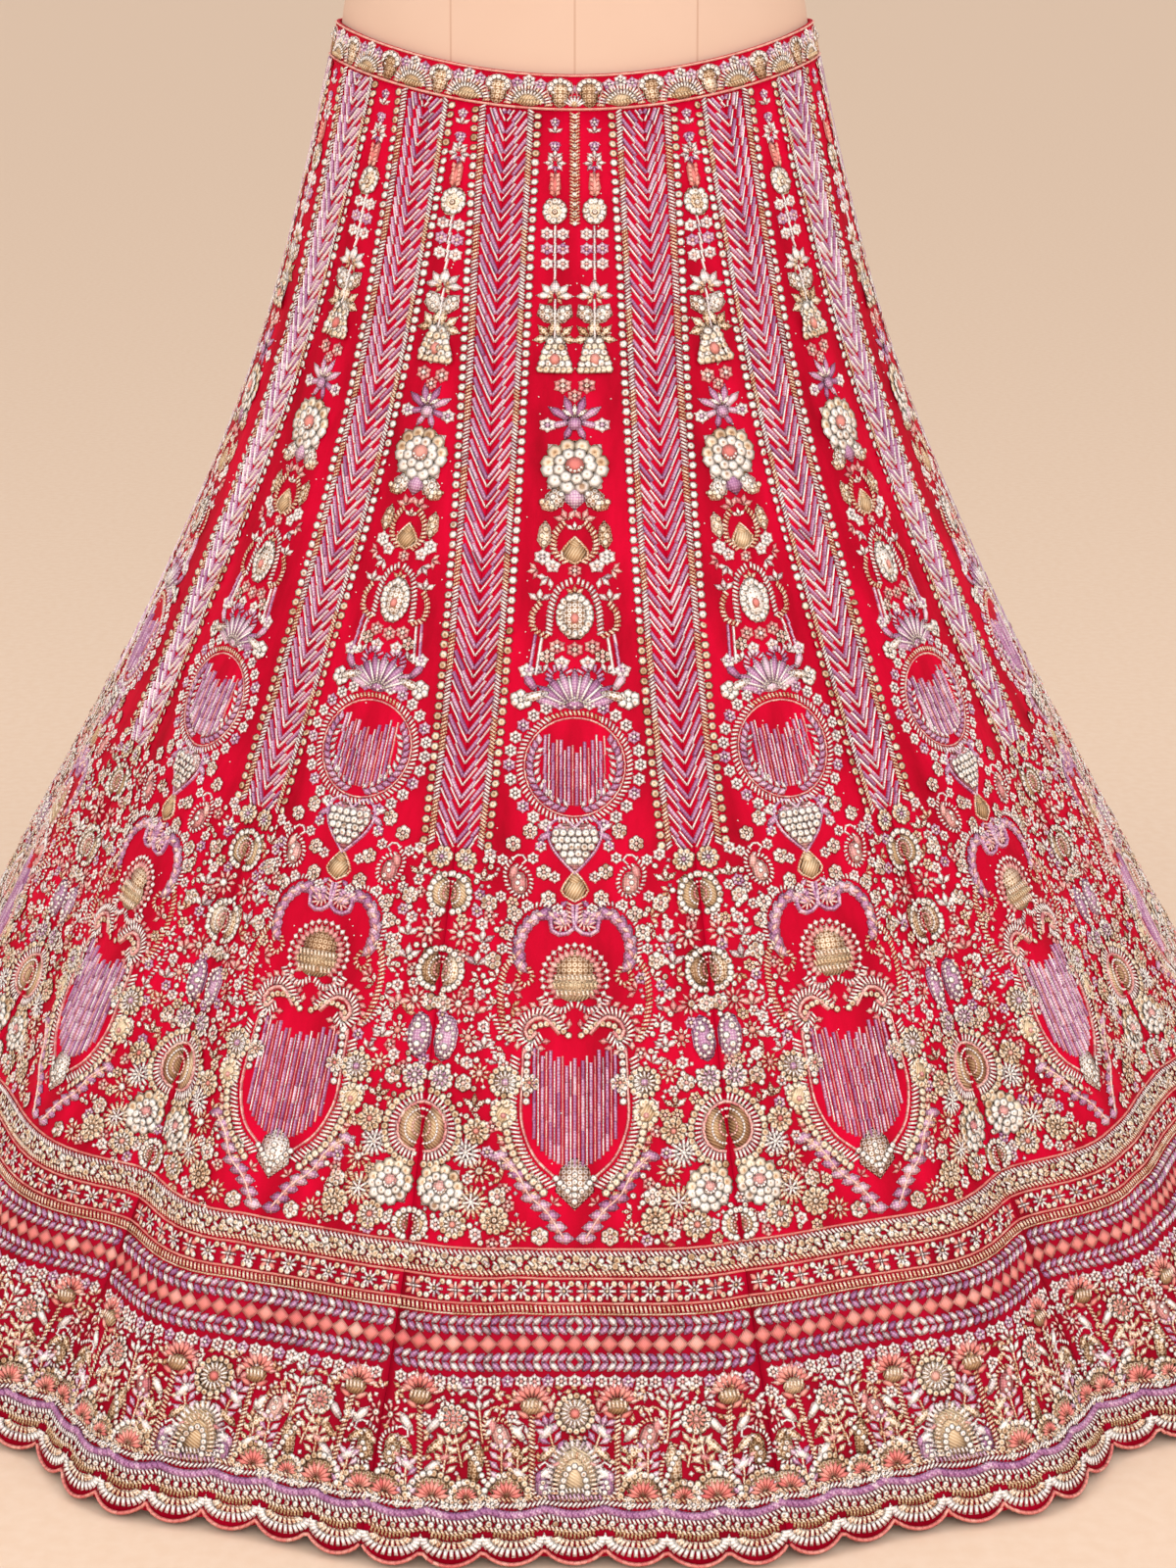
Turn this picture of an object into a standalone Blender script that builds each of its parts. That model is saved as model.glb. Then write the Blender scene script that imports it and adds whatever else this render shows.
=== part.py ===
"""Lehenga skirt of fourteen kalis on a limbless dress form, in metres, +Z up.

The origin is on the floor under the middle of the skirt. The front faces -Y and
the right-hand kalis lie towards +X. A point of the skirt is given by two numbers:
how far down it is, from 0 at the waist edge to 1 at the hem, and its angle in
degrees round the skirt, from 0 at the middle of the front, positive towards +X.
"""
import math

import bmesh
import bpy
import numpy as np

# Skirt
WAIST_HEIGHT = 0.873      # front of the waist edge above the floor
WAIST_RISE = 0.031        # the sides and the back sit this much higher on the hips
HEM_HEIGHT = 0.004        # lowest points of the scalloped hem above the floor
CLOTH = 0.002             # embroidered cloth of a kali
PUFF = 0.0025             # a kali stands this far out between its seams
SEAM_GAP = 0.0003
SCALLOPS_PER_KALI = 7
SCALLOP_DEPTH = 0.009

# Waistband
BAND_DOWN = 0.027         # where its lower edge lies, as a share of the way down
BAND_CLOTH = 0.003
BAND_PROUD = 0.0006       # its outer face stands this far outside the kalis

# Shape of the skirt: down, half width (X), half depth (Y)
SECTIONS = (
    (0.00, 0.1720, 0.1285),
    (0.10, 0.1925, 0.1775),
    (0.25, 0.2320, 0.2505),
    (0.45, 0.3110, 0.3485),
    (0.65, 0.4085, 0.4470),
    (0.85, 0.5115, 0.5415),
    (1.00, 0.6120, 0.6075),
)

# Kali seams of one side, mirrored on the other: angle at the waist, angle at the hem
SEAMS = (
    (15.2, 12.6),
    (35.5, 36.8),
    (59.0, 62.0),
    (85.0, 87.5),
    (112.0, 113.5),
    (139.5, 140.0),
    (166.5, 166.8),
)
SEAM_TURN_END = 0.5       # down where the seams have reached their hem angle

# Folds that grow towards the hem: angle, lift at the hem, half width in degrees, start
FOLDS = (
    (0.0, -0.006, 6.0, 0.55),
    (10.5, 0.007, 5.5, 0.50),
    (-10.5, 0.007, 5.5, 0.50),
    (20.5, -0.005, 5.5, 0.60),
    (-20.5, -0.005, 5.5, 0.60),
    (29.5, 0.012, 5.5, 0.35),
    (-29.5, 0.012, 5.5, 0.35),
    (37.5, -0.014, 4.5, 0.30),
    (-37.5, -0.014, 4.5, 0.30),
    (46.5, 0.011, 6.0, 0.40),
    (-46.5, 0.011, 6.0, 0.40),
    (58.0, -0.010, 5.5, 0.45),
    (-58.0, -0.011, 5.5, 0.42),
    (70.0, 0.013, 6.5, 0.35),
    (-69.0, 0.012, 6.5, 0.38),
    (83.0, -0.014, 5.5, 0.30),
    (-82.0, -0.012, 6.0, 0.34),
    (97.0, 0.012, 7.0, 0.42),
    (-95.0, 0.014, 6.5, 0.36),
    (109.0, -0.010, 5.5, 0.38),
    (-108.0, -0.013, 5.5, 0.30),
    (122.0, 0.014, 6.5, 0.33),
    (-121.0, 0.011, 7.0, 0.44),
    (135.0, -0.013, 5.5, 0.36),
    (-134.0, -0.009, 6.0, 0.48),
    (149.0, 0.009, 7.0, 0.50),
    (-147.0, 0.013, 6.0, 0.34),
    (162.0, -0.012, 5.5, 0.32),
    (-159.0, -0.011, 6.0, 0.40),
    (177.0, 0.010, 7.0, 0.45),
)
FOLD_GROWTH = 1.4         # power with which a fold deepens from its start to the hem

# Dress form, from under the hips to the neck: height over the waist edge,
# half width, half depth, share of the waist edge's tilt
TORSO = (
    (-0.190, 0.118, 0.082, 0.0),
    (-0.186, 0.138, 0.098, 0.0),
    (-0.172, 0.154, 0.110, 0.1),
    (-0.140, 0.167, 0.120, 0.4),
    (-0.085, 0.1735, 0.1265, 0.8),
    (-0.035, 0.1720, 0.1270, 1.0),
    (0.000, 0.16915, 0.12565, 1.0),
    (0.030, 0.1640, 0.1225, 0.8),
    (0.075, 0.1500, 0.1140, 0.4),
    (0.125, 0.1370, 0.1050, 0.1),
    (0.175, 0.1395, 0.1065, 0.0),
    (0.235, 0.1510, 0.1160, 0.0),
    (0.300, 0.1620, 0.1255, 0.0),
    (0.360, 0.1690, 0.1190, 0.0),
    (0.415, 0.1755, 0.1010, 0.0),
    (0.455, 0.1745, 0.0840, 0.0),
    (0.482, 0.1560, 0.0700, 0.0),
    (0.503, 0.1150, 0.0610, 0.0),
    (0.520, 0.0760, 0.0550, 0.0),
    (0.542, 0.0580, 0.0515, 0.0),
    (0.585, 0.0530, 0.0500, 0.0),
)
NECK_CAP_RADIUS = 0.056
NECK_CAP_HEIGHT = 0.014
POLE_RADIUS = 0.016
BASE_RADIUS = 0.170
BASE_HEIGHT = 0.018
REST_GAP = 0.0003         # between pieces that touch

# How finely the pieces are divided
KALI_COLUMNS = 8
KALI_ROWS = (0.10, 0.18, 0.27, 0.36, 0.45, 0.54, 0.63, 0.71, 0.79, 0.86, 0.92, 0.973)
POINTS_PER_SCALLOP = 4
BAND_COLUMNS = 28
TORSO_SIDES = 32
ROUND_SIDES = 40

# Colours in linear light, with roughness and metallic
CRIMSON = (0.690, 0.004, 0.028, 0.62, 0.0)
BAND_RED = (0.560, 0.060, 0.075, 0.50, 0.0)
LINEN = (0.740, 0.490, 0.330, 0.85, 0.0)
WALNUT = (0.120, 0.050, 0.022, 0.40, 0.0)
STEEL = (0.110, 0.108, 0.105, 0.35, 0.9)


def clear_scene():
    for thing in list(bpy.context.scene.objects):
        bpy.data.objects.remove(thing, do_unlink=True)


def smooth_curve(x, xs, ys):
    """Smooth curve through the points (xs, ys): a cubic between each two of them."""
    xs, ys = np.asarray(xs), np.asarray(ys)
    slopes = np.gradient(ys, xs)
    i = np.clip(np.searchsorted(xs, x, side="right") - 1, 0, len(xs) - 2)
    width = xs[i + 1] - xs[i]
    t = (x - xs[i]) / width
    return ((1 + 2 * t) * (1 - t) ** 2 * ys[i] + t * (1 - t) ** 2 * width * slopes[i]
            + t * t * (3 - 2 * t) * ys[i + 1] + t * t * (t - 1) * width * slopes[i + 1])


def seam_angles(down):
    """Angles of the fourteen seams at a depth, first the one left of the front kali."""
    turn = np.clip(down / SEAM_TURN_END, 0, 1)
    turn = turn * turn * (3 - 2 * turn)
    side = [at_waist + (at_hem - at_waist) * turn for at_waist, at_hem in SEAMS]
    return np.array([-side[0]] + side + [360 - angle for angle in side[:0:-1]])


def kali_angle(down, kali, across):
    """Angle in kali number 0 to 13, across it from 0 at one seam to 1 at the next."""
    seams = seam_angles(down)
    start = seams[kali]
    end = seams[kali + 1] if kali < len(seams) - 1 else seams[0] + 360
    return start + (end - start) * across


def puff_share(down, angle):
    """0 on a seam and 1 halfway between two seams."""
    seams = seam_angles(down)
    seams = np.concatenate([seams, seams[:1] + 360])
    turned = (angle - seams[0]) % 360 + seams[0]
    kali = np.clip((turned >= seams).sum() - 1, 0, len(seams) - 2)
    across = (turned - seams[kali]) / (seams[kali + 1] - seams[kali])
    return 4 * across * (1 - across)


def fold_lift(down, angle):
    """How far the folds move the cloth outwards: a round ridge or trough for each row."""
    lift = 0.0
    for centre, height, half_width, start in FOLDS:
        away = (angle - centre + 180) % 360 - 180
        growth = max(0.0, (down - start) / (1 - start)) ** FOLD_GROWTH
        lift += height * growth * math.exp(-(away / half_width) ** 2)
    return lift


def waist_edge(angle):
    """Height of the waist edge, lowest at the middle of the front."""
    turn = math.radians(angle)
    rise = math.sin(turn) ** 2 if math.cos(turn) > 0 else 1.0
    return WAIST_HEIGHT + WAIST_RISE * rise


def cloth_point(down, angle):
    """Point of the skirt's outer face: an ellipse at each depth, with puff and folds."""
    turn = math.radians(angle)
    downs, widths, depths = zip(*SECTIONS)
    out = PUFF * puff_share(down, angle) * min(1.0, down / 0.15) + fold_lift(down, angle)
    edge = waist_edge(angle)
    return np.array([(smooth_curve(down, downs, widths) + out) * math.sin(turn),
                     -(smooth_curve(down, downs, depths) + out) * math.cos(turn),
                     edge - (edge - HEM_HEIGHT) * down])


def skirt_point(down, angle, out=0.0):
    """Point of the outer face, moved out along the face's normal."""
    step_down, step_angle = 0.004, 0.4
    below = cloth_point(min(down + step_down, 1.0), angle)
    above = cloth_point(max(down - step_down, 0.0), angle)
    after = cloth_point(down, angle + step_angle)
    before = cloth_point(down, angle - step_angle)
    normal = np.cross(below - above, after - before)
    return cloth_point(down, angle) + normal / np.linalg.norm(normal) * out


def principled(name, look):
    material = bpy.data.materials.new(name)
    material.use_nodes = True
    shader = material.node_tree.nodes["Principled BSDF"]
    shader.inputs["Base Color"].default_value = (*look[:3], 1.0)
    shader.inputs["Roughness"].default_value = look[3]
    shader.inputs["Metallic"].default_value = look[4]
    material.diffuse_color = (*look[:3], 1.0)
    return material


def add_object(name, points, faces, material):
    """One closed body from its points and faces, smooth but for its sharp edges."""
    mesh = bpy.data.meshes.new(name)
    mesh.from_pydata([tuple(point) for point in points], [], faces)
    shape = bmesh.new()
    shape.from_mesh(mesh)
    bmesh.ops.recalc_face_normals(shape, faces=shape.faces)
    shape.to_mesh(mesh)
    shape.free()
    mesh.shade_smooth()
    mesh.set_sharp_from_angle(angle=math.radians(35))
    mesh.materials.append(material)
    piece = bpy.data.objects.new(name, mesh)
    bpy.context.scene.collection.objects.link(piece)
    return piece


def bridge(upper, lower):
    """Triangles between two rows of points that have different numbers of points."""
    faces = []
    per = (len(lower) - 1) / (len(upper) - 1)
    for j in range(len(upper) - 1):
        first, last = round(j * per), round((j + 1) * per)
        middle = (first + last) // 2
        for k in range(first, last):
            corner = upper[j] if k < middle else upper[j + 1]
            faces.append((corner, lower[k], lower[k + 1]))
        faces.append((upper[j], lower[middle], upper[j + 1]))
    return faces


def cloth_wall(name, rows, face_out, back_out, material):
    """A wall between an outer and an inner face. rows holds (down, angle) pairs."""
    points, outer, inner = [], [], []
    for row in rows:
        outer.append([len(points) + k for k in range(len(row))])
        points += [skirt_point(down, angle, face_out) for down, angle in row]
        inner.append([len(points) + k for k in range(len(row))])
        points += [skirt_point(down, angle, back_out) for down, angle in row]
    faces = []
    for i in range(len(rows) - 1):
        for face in (outer, inner):
            if len(face[i]) == len(face[i + 1]):
                for k in range(len(face[i]) - 1):
                    faces.append((face[i][k], face[i][k + 1], face[i + 1][k + 1], face[i + 1][k]))
            else:
                faces += bridge(face[i], face[i + 1])
        for k in (0, -1):
            faces.append((outer[i][k], outer[i + 1][k], inner[i + 1][k], inner[i][k]))
    for i in (0, -1):
        for k in range(len(rows[i]) - 1):
            faces.append((outer[i][k], outer[i][k + 1], inner[i][k + 1], inner[i][k]))
    return add_object(name, points, faces, material)


def scallop_edge(across):
    """Depth of the hem: round lobes that hang down, all ending at the same level."""
    lobe = abs(math.sin(math.pi * across * SCALLOPS_PER_KALI)) ** 0.6
    return 1 - SCALLOP_DEPTH / WAIST_HEIGHT * (1 - lobe)


def make_kali(name, kali, material):
    """A kali: a long wedge of cloth from the waistband to its scalloped hem."""
    def at(down, across):
        girth = math.pi / 180 * smooth_curve(down, *list(zip(*SECTIONS))[:2])
        inset = 0.5 * SEAM_GAP / girth
        angle = kali_angle(down, kali, across)
        return down, angle + inset * (1 - 2 * across)

    top = BAND_DOWN + SEAM_GAP / WAIST_HEIGHT
    rows = [[at(down, k / KALI_COLUMNS) for k in range(KALI_COLUMNS + 1)]
            for down in (top,) + KALI_ROWS]
    fine = SCALLOPS_PER_KALI * POINTS_PER_SCALLOP
    rows.append([at(scallop_edge(k / fine), k / fine) for k in range(fine + 1)])
    return cloth_wall(name, rows, 0.0, -CLOTH, material)


def make_waistband_half(name, start, end, material):
    """Half of the waistband, a stiff strip that stands a little outside the kalis."""
    inset = math.degrees(0.5 * SEAM_GAP / SECTIONS[0][2])
    angles = np.linspace(start + inset, end - inset, BAND_COLUMNS + 1)
    rows = [[(down, angle) for angle in angles] for down in (0.0, BAND_DOWN)]
    return cloth_wall(name, rows, BAND_PROUD, BAND_PROUD - BAND_CLOTH, material)


def loft(name, rings, material):
    """A closed body through rings with the same number of points."""
    count = len(rings[0])
    points = [point for ring in rings for point in ring]
    faces = [tuple(range(count)), tuple(range(len(points) - count, len(points)))]
    for i in range(len(rings) - 1):
        for k in range(count):
            here, there = i * count + k, i * count + (k + 1) % count
            faces.append((here, there, there + count, here + count))
    return add_object(name, points, faces, material)


def make_torso(material):
    """The form's body, hips to neck. Its widest tilted ring fills the waist edge."""
    rings = []
    for height, half_width, half_depth, tilt in TORSO:
        ring = []
        for k in range(TORSO_SIDES):
            angle = 360 * k / TORSO_SIDES
            turn = math.radians(angle)
            lift = (waist_edge(angle) - WAIST_HEIGHT) * tilt
            ring.append((half_width * math.sin(turn), -half_depth * math.cos(turn),
                         WAIST_HEIGHT + height + lift))
        rings.append(ring)
    return loft("form_torso", rings, material)


def turned(name, profile, material):
    """A round body on the Z axis, from rows of radius and height."""
    rings = []
    for radius, height in profile:
        rings.append([(radius * math.cos(2 * math.pi * k / ROUND_SIDES),
                       radius * math.sin(2 * math.pi * k / ROUND_SIDES), height)
                      for k in range(ROUND_SIDES)])
    return loft(name, rings, material)


def make_stand(steel, walnut):
    """Neck cap, pole and base of the dress form."""
    neck_top = WAIST_HEIGHT + TORSO[-1][0]
    cap_low = neck_top + REST_GAP
    cap_edge = 0.25 * NECK_CAP_HEIGHT
    turned("form_neck_cap", (
        (NECK_CAP_RADIUS - cap_edge, cap_low),
        (NECK_CAP_RADIUS, cap_low + cap_edge),
        (NECK_CAP_RADIUS, cap_low + NECK_CAP_HEIGHT - cap_edge),
        (NECK_CAP_RADIUS - cap_edge, cap_low + NECK_CAP_HEIGHT),
    ), walnut)
    torso_foot = WAIST_HEIGHT + TORSO[0][0]
    turned("form_pole", (
        (POLE_RADIUS, BASE_HEIGHT + REST_GAP),
        (POLE_RADIUS, torso_foot - REST_GAP),
    ), steel)
    edge = 0.35 * BASE_HEIGHT
    turned("form_base", (
        (BASE_RADIUS, 0.0),
        (BASE_RADIUS, BASE_HEIGHT - edge),
        (BASE_RADIUS - edge, BASE_HEIGHT),
    ), steel)


def main():
    clear_scene()
    crimson = principled("crimson_silk", CRIMSON)
    band_red = principled("waistband_silk", BAND_RED)
    names = (["kali_front"] + [f"kali_right_{k}" for k in range(1, 7)] + ["kali_back"]
             + [f"kali_left_{k}" for k in range(6, 0, -1)])
    for kali, name in enumerate(names):
        make_kali(name, kali, crimson)
    make_waistband_half("waistband_front", -90.0, 90.0, band_red)
    make_waistband_half("waistband_back", 90.0, 270.0, band_red)
    make_torso(principled("linen", LINEN))
    make_stand(principled("painted_steel", STEEL), principled("walnut", WALNUT))


main()
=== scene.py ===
# %% [markdown]
# A bridal lehenga skirt is cut from long wedges of silk, the kalis. Beadwork
# covers them before they are sewn together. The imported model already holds
# every kali as a solid, so this lesson starts by loading that model.

# %% Load the model
import math

import bpy
import numpy as np
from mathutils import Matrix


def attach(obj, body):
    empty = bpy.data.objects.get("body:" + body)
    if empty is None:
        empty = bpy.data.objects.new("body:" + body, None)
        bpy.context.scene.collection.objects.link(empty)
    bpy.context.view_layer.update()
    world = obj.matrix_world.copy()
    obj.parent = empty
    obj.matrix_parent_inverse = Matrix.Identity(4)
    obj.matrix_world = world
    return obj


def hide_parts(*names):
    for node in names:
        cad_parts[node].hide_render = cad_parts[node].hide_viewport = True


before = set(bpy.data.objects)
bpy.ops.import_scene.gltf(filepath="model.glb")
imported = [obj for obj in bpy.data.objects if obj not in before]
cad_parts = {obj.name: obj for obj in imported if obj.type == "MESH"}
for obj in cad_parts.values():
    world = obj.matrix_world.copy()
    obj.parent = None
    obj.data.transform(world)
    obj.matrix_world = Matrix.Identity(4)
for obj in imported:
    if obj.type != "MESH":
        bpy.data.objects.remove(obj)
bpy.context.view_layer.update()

MM = 0.001

# %% [markdown]
# The camera stands where the photographer stood: a little over two metres
# away, at the height of the waist, looking slightly down. Its long lens keeps
# the waist and the hem in proportion. A small shift puts the skirt's middle
# a little left of the picture's middle.

# %% Camera
CAMERA_PLACE = (0.0, -2.117, 0.994)
CAMERA_TILT = math.radians(17.67)     # downwards
FOCAL_PIXELS = 2865.0                 # in the picture of 1200 by 1600 pixels
PICTURE_HEIGHT = 1600.0
SKIRT_MIDDLE_X, PICTURE_MIDDLE_X = 586.5, 600.0

lens = bpy.data.cameras.new("camera")
lens.lens = FOCAL_PIXELS / PICTURE_HEIGHT * lens.sensor_width
lens.shift_x = (PICTURE_MIDDLE_X - SKIRT_MIDDLE_X) / PICTURE_HEIGHT
camera = bpy.data.objects.new("camera", lens)
camera.location = CAMERA_PLACE
camera.rotation_euler = (math.pi / 2 - CAMERA_TILT, 0, 0)
bpy.context.scene.collection.objects.link(camera)
bpy.context.scene.camera = camera
bpy.context.scene.view_settings.view_transform = "Standard"
print("lens of", round(lens.lens, 1), "mm")

# %% [markdown]
# Colours are written as sRGB hex, as a colour picker shows them. Blender's
# shaders want linear light, so one function converts them. A second one fills
# a node's inputs and a third adds a node, which keeps each material down to a
# few lines.


# %% Colour and node helpers
def linear(hex_colour):
    """sRGB hex to linear: divide by 12.92 near black, else the 2.4 power curve."""
    srgb = np.array([int(hex_colour[i:i + 2], 16) for i in (1, 3, 5)]) / 255
    light = np.where(srgb <= 0.04045, srgb / 12.92, ((srgb + 0.055) / 1.055) ** 2.4)
    return (*[float(x) for x in light], 1.0)


def set_inputs(tree, holder, **inputs):
    """Fills a node's inputs: a tuple of node and output name becomes a link, a value is set."""
    for name, value in inputs.items():
        key = name.replace("_", " ")
        socket = holder.inputs[int(key[5:])] if key.startswith("input") else holder.inputs[key]
        if isinstance(value, tuple) and isinstance(value[0], bpy.types.Node):
            tree.links.new(value[0].outputs[value[1]], socket)
        else:
            socket.default_value = value


def node(tree, kind, settings=None, **inputs):
    """Adds a node with its settings and its inputs."""
    new = tree.nodes.new("ShaderNode" + kind)
    for name, value in (settings or {}).items():
        setattr(new, name, value)
    set_inputs(tree, new, **inputs)
    return new


def blank_material(name):
    """A material with only its output and its Principled shader."""
    material = bpy.data.materials.new(name)
    material.use_nodes = True
    return material, material.node_tree, material.node_tree.nodes["Principled BSDF"]


def ramp(tree, factor, stops):
    """A colour ramp through (place, hex colour) stops, read at a factor."""
    band = node(tree, "ValToRGB", Fac=factor)
    elements = band.color_ramp.elements
    while len(elements) < len(stops):
        elements.new(0.5)
    for element, (place, colour) in zip(elements, stops):
        element.position = place
        element.color = linear(colour)
    return band


# %% [markdown]
# The photo was taken on seamless beige paper. Here it is one flat floor, so
# large that it fills the picture and hides nothing from any side. A ceiling of
# soft light and a weaker one from the back, each made as a sun with a very wide
# disc, light all of it evenly. Three big soft lamps at the front and the sides
# show the relief. The sky has the floor's colour low down, so that no line
# parts them, and is greyer above.

# %% Studio
FLOOR_HALF_WIDTH = 45.0


def make_floor():
    """A square at height zero: its corners are all four signs of the half width."""
    signs = np.array([(-1, -1), (1, -1), (1, 1), (-1, 1)])
    points = np.column_stack([signs * FLOOR_HALF_WIDTH, np.zeros(4)])
    mesh = bpy.data.meshes.new("paper")
    mesh.from_pydata(points.tolist(), [], [(0, 1, 2, 3)])
    return mesh


paper_look, tree, shader = blank_material("beige_background_paper")
grain = node(tree, "TexNoise", Scale=90.0, Detail=3.0, Vector=(node(tree, "TexCoord"), "Object"))
tint = ramp(tree, (grain, "Fac"), ((0.35, "#e8d1bc"), (0.65, "#ebd6c3")))
set_inputs(tree, shader, Base_Color=(tint, "Color"), Roughness=0.9, Specular_IOR_Level=0.2)
paper = bpy.data.objects.new("paper", make_floor())
paper.data.materials.append(paper_look)
bpy.context.scene.collection.objects.link(paper)


def lamp(name, place, aim, size, watts, colour):
    """A square soft light at a place, turned towards the aim."""
    light = bpy.data.lights.new(name, "AREA")
    light.shape, light.size, light.energy = "SQUARE", size, watts
    light.color = linear(colour)[:3]
    holder = bpy.data.objects.new(name, light)
    way = np.array(aim) - np.array(place)
    holder.rotation_euler = (math.acos(-way[2] / np.linalg.norm(way)), 0,
                             math.atan2(way[1], way[0]) - math.pi / 2)
    holder.location = place
    holder.visible_camera = False
    bpy.context.scene.collection.objects.link(holder)


def sun(name, tilt, strength, width):
    """An even light from a wide disc; a tilt below zero brings it from the back."""
    light = bpy.data.lights.new(name, "SUN")
    light.energy = strength
    light.angle = math.radians(width)
    light.color = linear("#fffaf4")[:3]
    holder = bpy.data.objects.new(name, light)
    holder.rotation_euler = (math.radians(tilt), 0, 0)
    bpy.context.scene.collection.objects.link(holder)


lamp("front_lamp", (0.3, -4.2, 2.6), (0, 0, 0.5), 2.6, 66, "#fff8f2")
lamp("left_lamp", (-3.4, -2.2, 2.2), (0, 0, 0.5), 1.8, 34, "#fff6ee")
lamp("right_lamp", (3.4, -2.4, 2.4), (0, 0, 0.5), 1.8, 34, "#fff8f4")
sun("ceiling", 12, 1.12, 100)
sun("back_light", -50, 0.5, 90)
world = bpy.data.worlds.new("studio")
world.use_nodes = True
tree = world.node_tree
rise = node(tree, "SeparateXYZ", Vector=(node(tree, "TexCoord"), "Generated"))
sky = ramp(tree, (rise, "Z"), ((0.06, "#d9bca5"), (0.45, "#aaa19a")))
set_inputs(tree, tree.nodes["Background"], Color=(sky, "Color"), Strength=1.0)
bpy.context.scene.world = world

# %% [markdown]
# The skirt is one smooth shape cut into fourteen kalis. Going down it, the
# plan is an ellipse that grows from the waist to the hem. Going round it,
# each kali puffs out a little between its seams, and the folds are soft
# ridges and troughs that deepen towards the hem. The sizes below are those of
# the model, so the cloth and all that is sewn on it lie on the solids.

# %% The skirt's shape
WAIST_HEIGHT, WAIST_RISE, HEM_HEIGHT, PUFF = 0.873, 0.031, 0.004, 0.0025
BAND_DOWN = 0.027
SCALLOPS, SCALLOP_DEPTH = 7, 0.009
DOWNS = (0.00, 0.10, 0.25, 0.45, 0.65, 0.85, 1.00)
HALF_WIDTHS = (0.1720, 0.1925, 0.2320, 0.3110, 0.4085, 0.5115, 0.6120)
HALF_DEPTHS = (0.1285, 0.1775, 0.2505, 0.3485, 0.4470, 0.5415, 0.6075)
SEAMS_AT_WAIST = (15.2, 35.5, 59.0, 85.0, 112.0, 139.5, 166.5)
SEAMS_AT_HEM = (12.6, 36.8, 62.0, 87.5, 113.5, 140.0, 166.8)
SEAMS_TURN_TO = 0.5        # share of the way down where the seams reach their hem angles
PUFF_FULL_AT = 0.15        # and where the puffing has its full height
FOLD_GROWTH = 1.4
# each fold: angle, lift at the hem, half width in degrees, start as a share of the way down
FOLDS = (
    (0.0, -0.006, 6.0, 0.55), (10.5, 0.007, 5.5, 0.50), (-10.5, 0.007, 5.5, 0.50),
    (20.5, -0.005, 5.5, 0.60), (-20.5, -0.005, 5.5, 0.60), (29.5, 0.012, 5.5, 0.35),
    (-29.5, 0.012, 5.5, 0.35), (37.5, -0.014, 4.5, 0.30), (-37.5, -0.014, 4.5, 0.30),
    (46.5, 0.011, 6.0, 0.40), (-46.5, 0.011, 6.0, 0.40), (58.0, -0.010, 5.5, 0.45),
    (-58.0, -0.011, 5.5, 0.42), (70.0, 0.013, 6.5, 0.35), (-69.0, 0.012, 6.5, 0.38),
    (83.0, -0.014, 5.5, 0.30), (-82.0, -0.012, 6.0, 0.34), (97.0, 0.012, 7.0, 0.42),
    (-95.0, 0.014, 6.5, 0.36), (109.0, -0.010, 5.5, 0.38), (-108.0, -0.013, 5.5, 0.30),
    (122.0, 0.014, 6.5, 0.33), (-121.0, 0.011, 7.0, 0.44), (135.0, -0.013, 5.5, 0.36),
    (-134.0, -0.009, 6.0, 0.48), (149.0, 0.009, 7.0, 0.50), (-147.0, 0.013, 6.0, 0.34),
    (162.0, -0.012, 5.5, 0.32), (-159.0, -0.011, 6.0, 0.40), (177.0, 0.010, 7.0, 0.45),
)
# short soft creases of the cloth alone: angle, middle as a share of the way down, depth,
# half width in degrees, half length
CREASES = (
    (12.6, 0.74, 0.0020, 2.3, 0.13), (-12.6, 0.71, 0.0018, 2.2, 0.15), (3.5, 0.60, 0.0016, 1.4, 0.06),
    (-4.2, 0.83, 0.0018, 1.5, 0.05), (24.0, 0.63, 0.0024, 1.8, 0.09), (-26.0, 0.79, 0.0020, 1.6, 0.07),
    (36.8, 0.72, 0.0021, 2.4, 0.14), (-36.8, 0.75, 0.0019, 2.5, 0.12), (49.0, 0.86, 0.0022, 1.9, 0.06),
    (-51.0, 0.58, 0.0020, 1.7, 0.08), (62.0, 0.76, 0.0020, 2.5, 0.16), (-62.0, 0.70, 0.0018, 2.3, 0.13),
    (75.0, 0.66, 0.0026, 2.0, 0.10), (-73.0, 0.84, 0.0022, 1.8, 0.07), (87.5, 0.73, 0.0019, 2.4, 0.15),
    (-87.5, 0.77, 0.0021, 2.6, 0.12), (101.0, 0.62, 0.0022, 1.8, 0.08), (-99.0, 0.69, 0.0026, 2.0, 0.11),
    (113.5, 0.75, 0.0020, 2.5, 0.14), (-113.5, 0.72, 0.0018, 2.3, 0.16), (127.0, 0.85, 0.0020, 1.7, 0.06),
    (-126.0, 0.60, 0.0024, 1.9, 0.09), (140.0, 0.70, 0.0019, 2.5, 0.13), (-140.0, 0.76, 0.0021, 2.4, 0.14),
    (154.0, 0.64, 0.0022, 1.8, 0.08), (-152.0, 0.82, 0.0020, 1.6, 0.07), (166.8, 0.74, 0.0020, 2.4, 0.15),
    (-166.8, 0.71, 0.0018, 2.5, 0.12), (176.0, 0.61, 0.0018, 1.5, 0.06),
)
KALIS = (["kali_front"] + [f"kali_right_{k}" for k in range(1, 7)] + ["kali_back"]
         + [f"kali_left_{k}" for k in range(6, 0, -1)])


def all_round(side):
    """The fifteen seam angles of a full turn, from the seven of one side."""
    return np.array([-side[0], *side, *[360 - angle for angle in side[::-1]]])


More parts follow.
